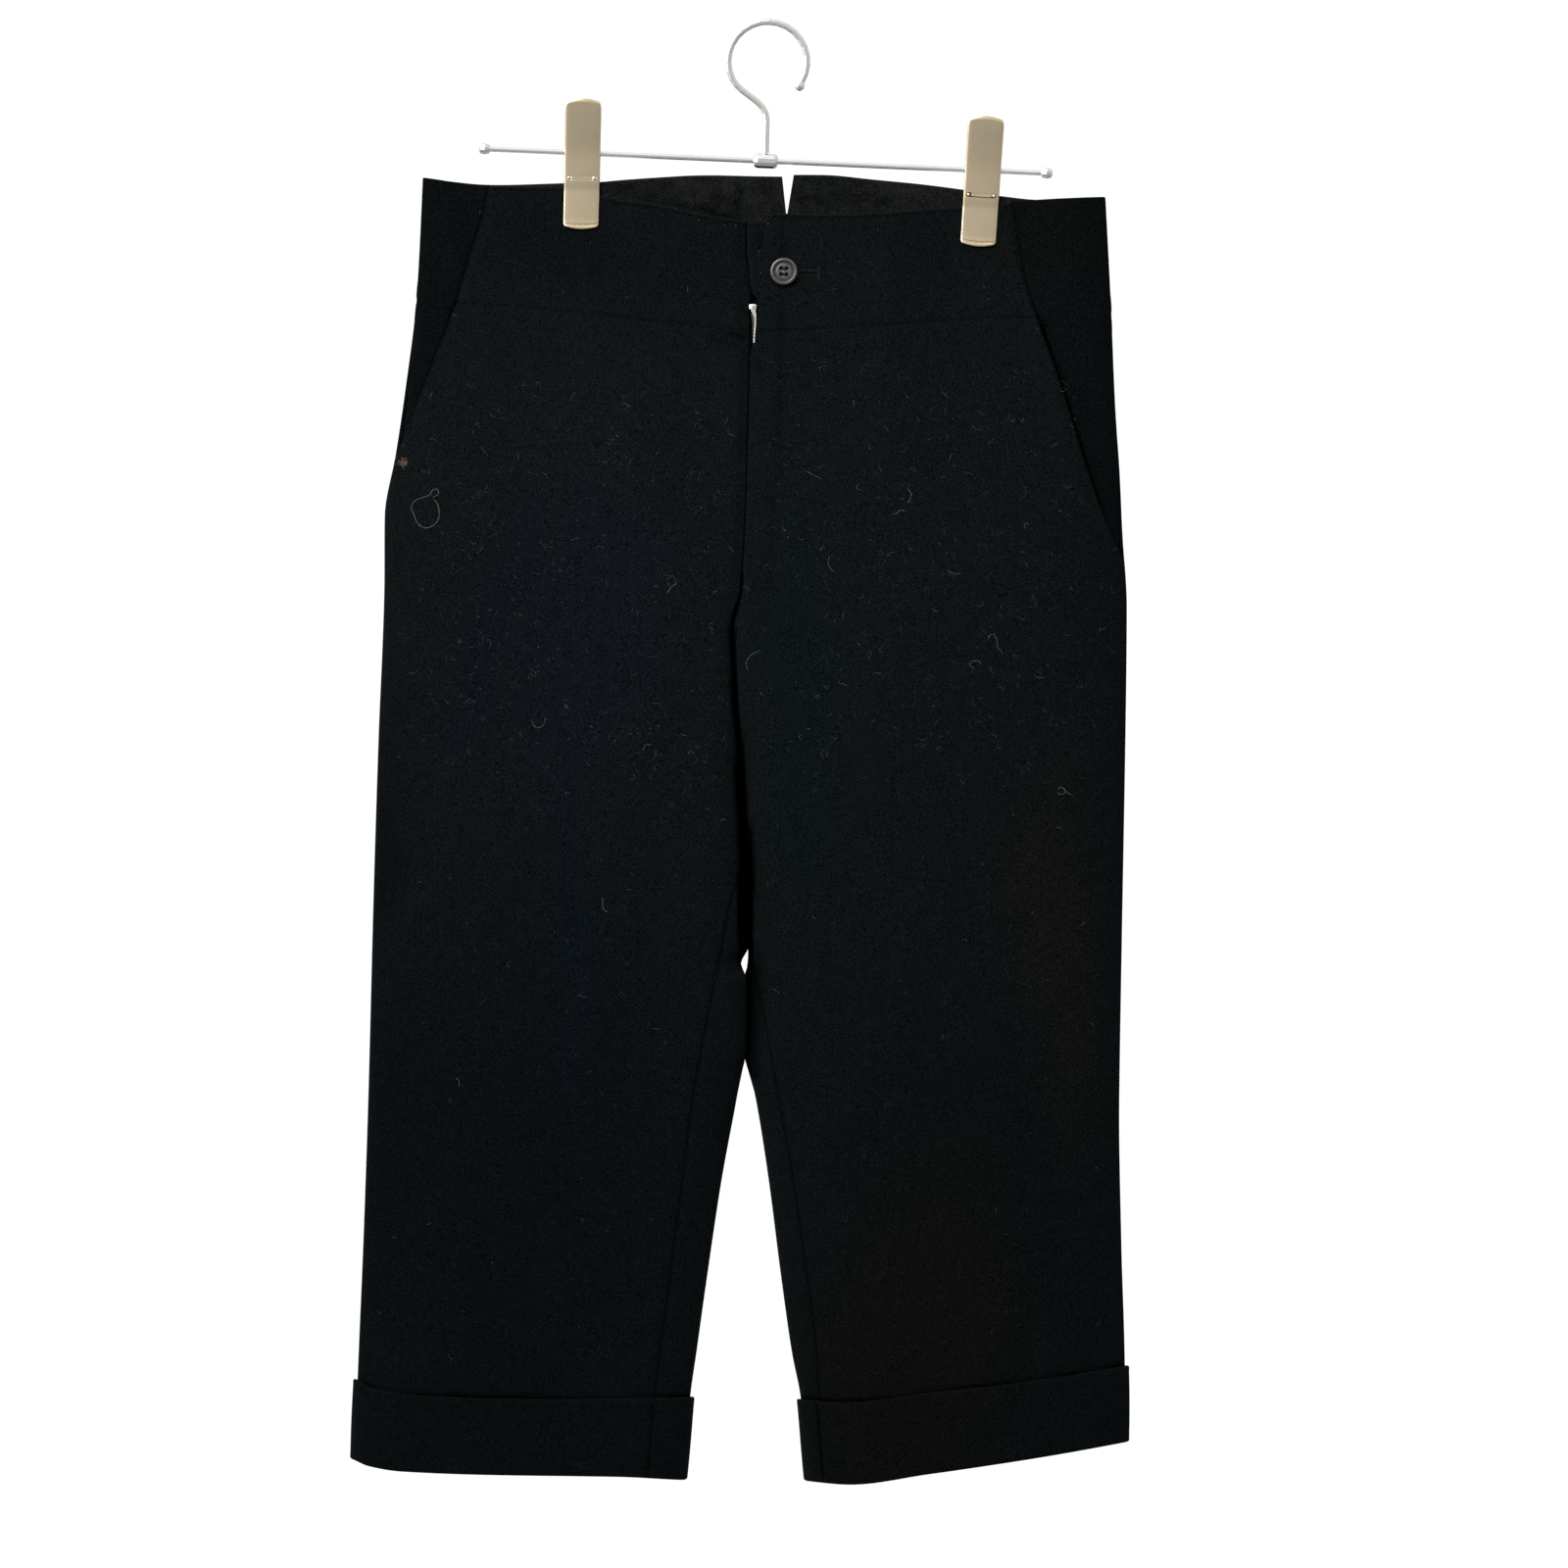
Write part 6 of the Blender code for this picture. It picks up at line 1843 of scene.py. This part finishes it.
def loose_fibres():
    ride_and_slot(lint(lint_fibre("pale_lint", (0.02, 0.022, 0.024), (0.27, 0.28, 0.29))), "wool")
    ride_and_slot(long_threads(lint_fibre("pale_thread", (0.18, 0.19, 0.19), (0.34, 0.34, 0.33))), "wool")
    ride_and_slot(pocket_tuft(lint_fibre("brown_tuft", (0.05, 0.028, 0.02), (0.20, 0.13, 0.10))), "wool")


# Camera and light

PICTURE_WIDTH = 0.864
PICTURE_CENTRE = (0.0173, -0.4179)
ROLL = math.radians(1.2)
CAMERA_DISTANCE = 9.0
SENSOR = 36.0


def camera():
    lens = bpy.data.cameras.new("camera")
    lens.sensor_width = SENSOR
    lens.lens = SENSOR * CAMERA_DISTANCE / PICTURE_WIDTH
    item = add_object("camera", lens)
    x, z = PICTURE_CENTRE
    facing = Matrix.Rotation(math.radians(90), 4, "X") @ Matrix.Rotation(ROLL, 4, "Z")
    item.matrix_world = Matrix.Translation(Vector((x, -CAMERA_DISTANCE, z))) @ facing
    bpy.context.scene.camera = item


def soft_box(name, place, target, width, height, power, spread=180.0):
    light = bpy.data.lights.new(name, "AREA")
    light.shape = "RECTANGLE"
    light.size = width
    light.size_y = height
    light.energy = power
    light.spread = math.radians(spread)
    item = add_object(name, light)
    item.location = place
    item.rotation_euler = (Vector(target) - Vector(place)).to_track_quat("-Z", "Y").to_euler()
    item.visible_glossy = False


def surroundings():
    """A white studio: pure white to look at, and softer from the front for what it lights."""
    world = bpy.data.worlds.new("studio")
    bpy.context.scene.world = world
    world.use_nodes = True
    tree = world.node_tree
    tree.nodes.clear()
    out = tree.nodes.new("ShaderNodeOutputWorld")
    mix = tree.nodes.new("ShaderNodeMixShader")
    seen = tree.nodes.new("ShaderNodeBackground")
    lit = tree.nodes.new("ShaderNodeBackground")
    rays = tree.nodes.new("ShaderNodeLightPath")
    place = tree.nodes.new("ShaderNodeTexCoord")
    split = tree.nodes.new("ShaderNodeSeparateXYZ")
    put(tree, split.inputs[0], place.outputs["Generated"])
    x, y, z = split.outputs

    def add_share(value, gain, base):
        return math_node(tree, "MULTIPLY_ADD", value, gain, base)

    # What matt cloth is lit by, then what shines in metal, with a bright card up at the front
    sides = math_node(tree, "MULTIPLY", x, x)
    behind = math_node(tree, "MAXIMUM", y, 0.0)
    level = add_share(z, 0.15, add_share(behind, 0.45, add_share(sides, 0.30, 0.10)))
    mirrored = add_share(x, -0.25, add_share(z, 0.40, add_share(sides, 0.3, 0.56)))
    card = add_share(x, -0.72, add_share(y, -0.42, math_node(tree, "MULTIPLY", z, 0.55)))
    card = math_node(tree, "MAXIMUM", math_node(tree, "SUBTRACT", card, 0.72), 0.0)
    mirrored = add_share(card, 24.0, mirrored)
    level = add_share(rays.outputs["Is Glossy Ray"], math_node(tree, "SUBTRACT", mirrored, level), level)
    put(tree, seen.inputs["Color"], (1.0, 1.0, 1.0))
    put(tree, seen.inputs["Strength"], 1.05)
    put(tree, lit.inputs["Color"], (1.0, 0.985, 0.96))
    put(tree, lit.inputs["Strength"], level)
    put(tree, mix.inputs[0], rays.outputs["Is Camera Ray"])
    put(tree, mix.inputs[1], lit.outputs[0])
    put(tree, mix.inputs[2], seen.outputs[0])
    put(tree, out.inputs[0], mix.outputs[0])
    soft_box("key", (-0.40, -1.15, 0.42), (-0.03, 0.0, -0.36), 0.9, 0.7, 4.5, 70.0)
    soft_box("rear", (0.5, 1.3, 0.45), (0.0, 0.0, -0.4), 1.0, 0.8, 8.0)
    bpy.context.scene.view_settings.view_transform = "Standard"


FLOOR_Z = -1500.0
FLOOR_RADIUS = 1900.0
FLOOR_THICK = 20.0
FLOOR_EDGE = 4.0


def floor():
    profile = ((FLOOR_RADIUS, FLOOR_Z - FLOOR_THICK), (FLOOR_RADIUS, FLOOR_Z - FLOOR_EDGE),
               (FLOOR_RADIUS - FLOOR_EDGE, FLOOR_Z))
    parts = Parts()
    parts.rings([[(x, y, z) for x, y in circle(0.0, 0.0, radius, 96)] for radius, z in profile])
    parts.build("pale_floor", floor_paint())


camera()
surroundings()
floor()
cloth_pieces()
fittings()
loose_fibres()
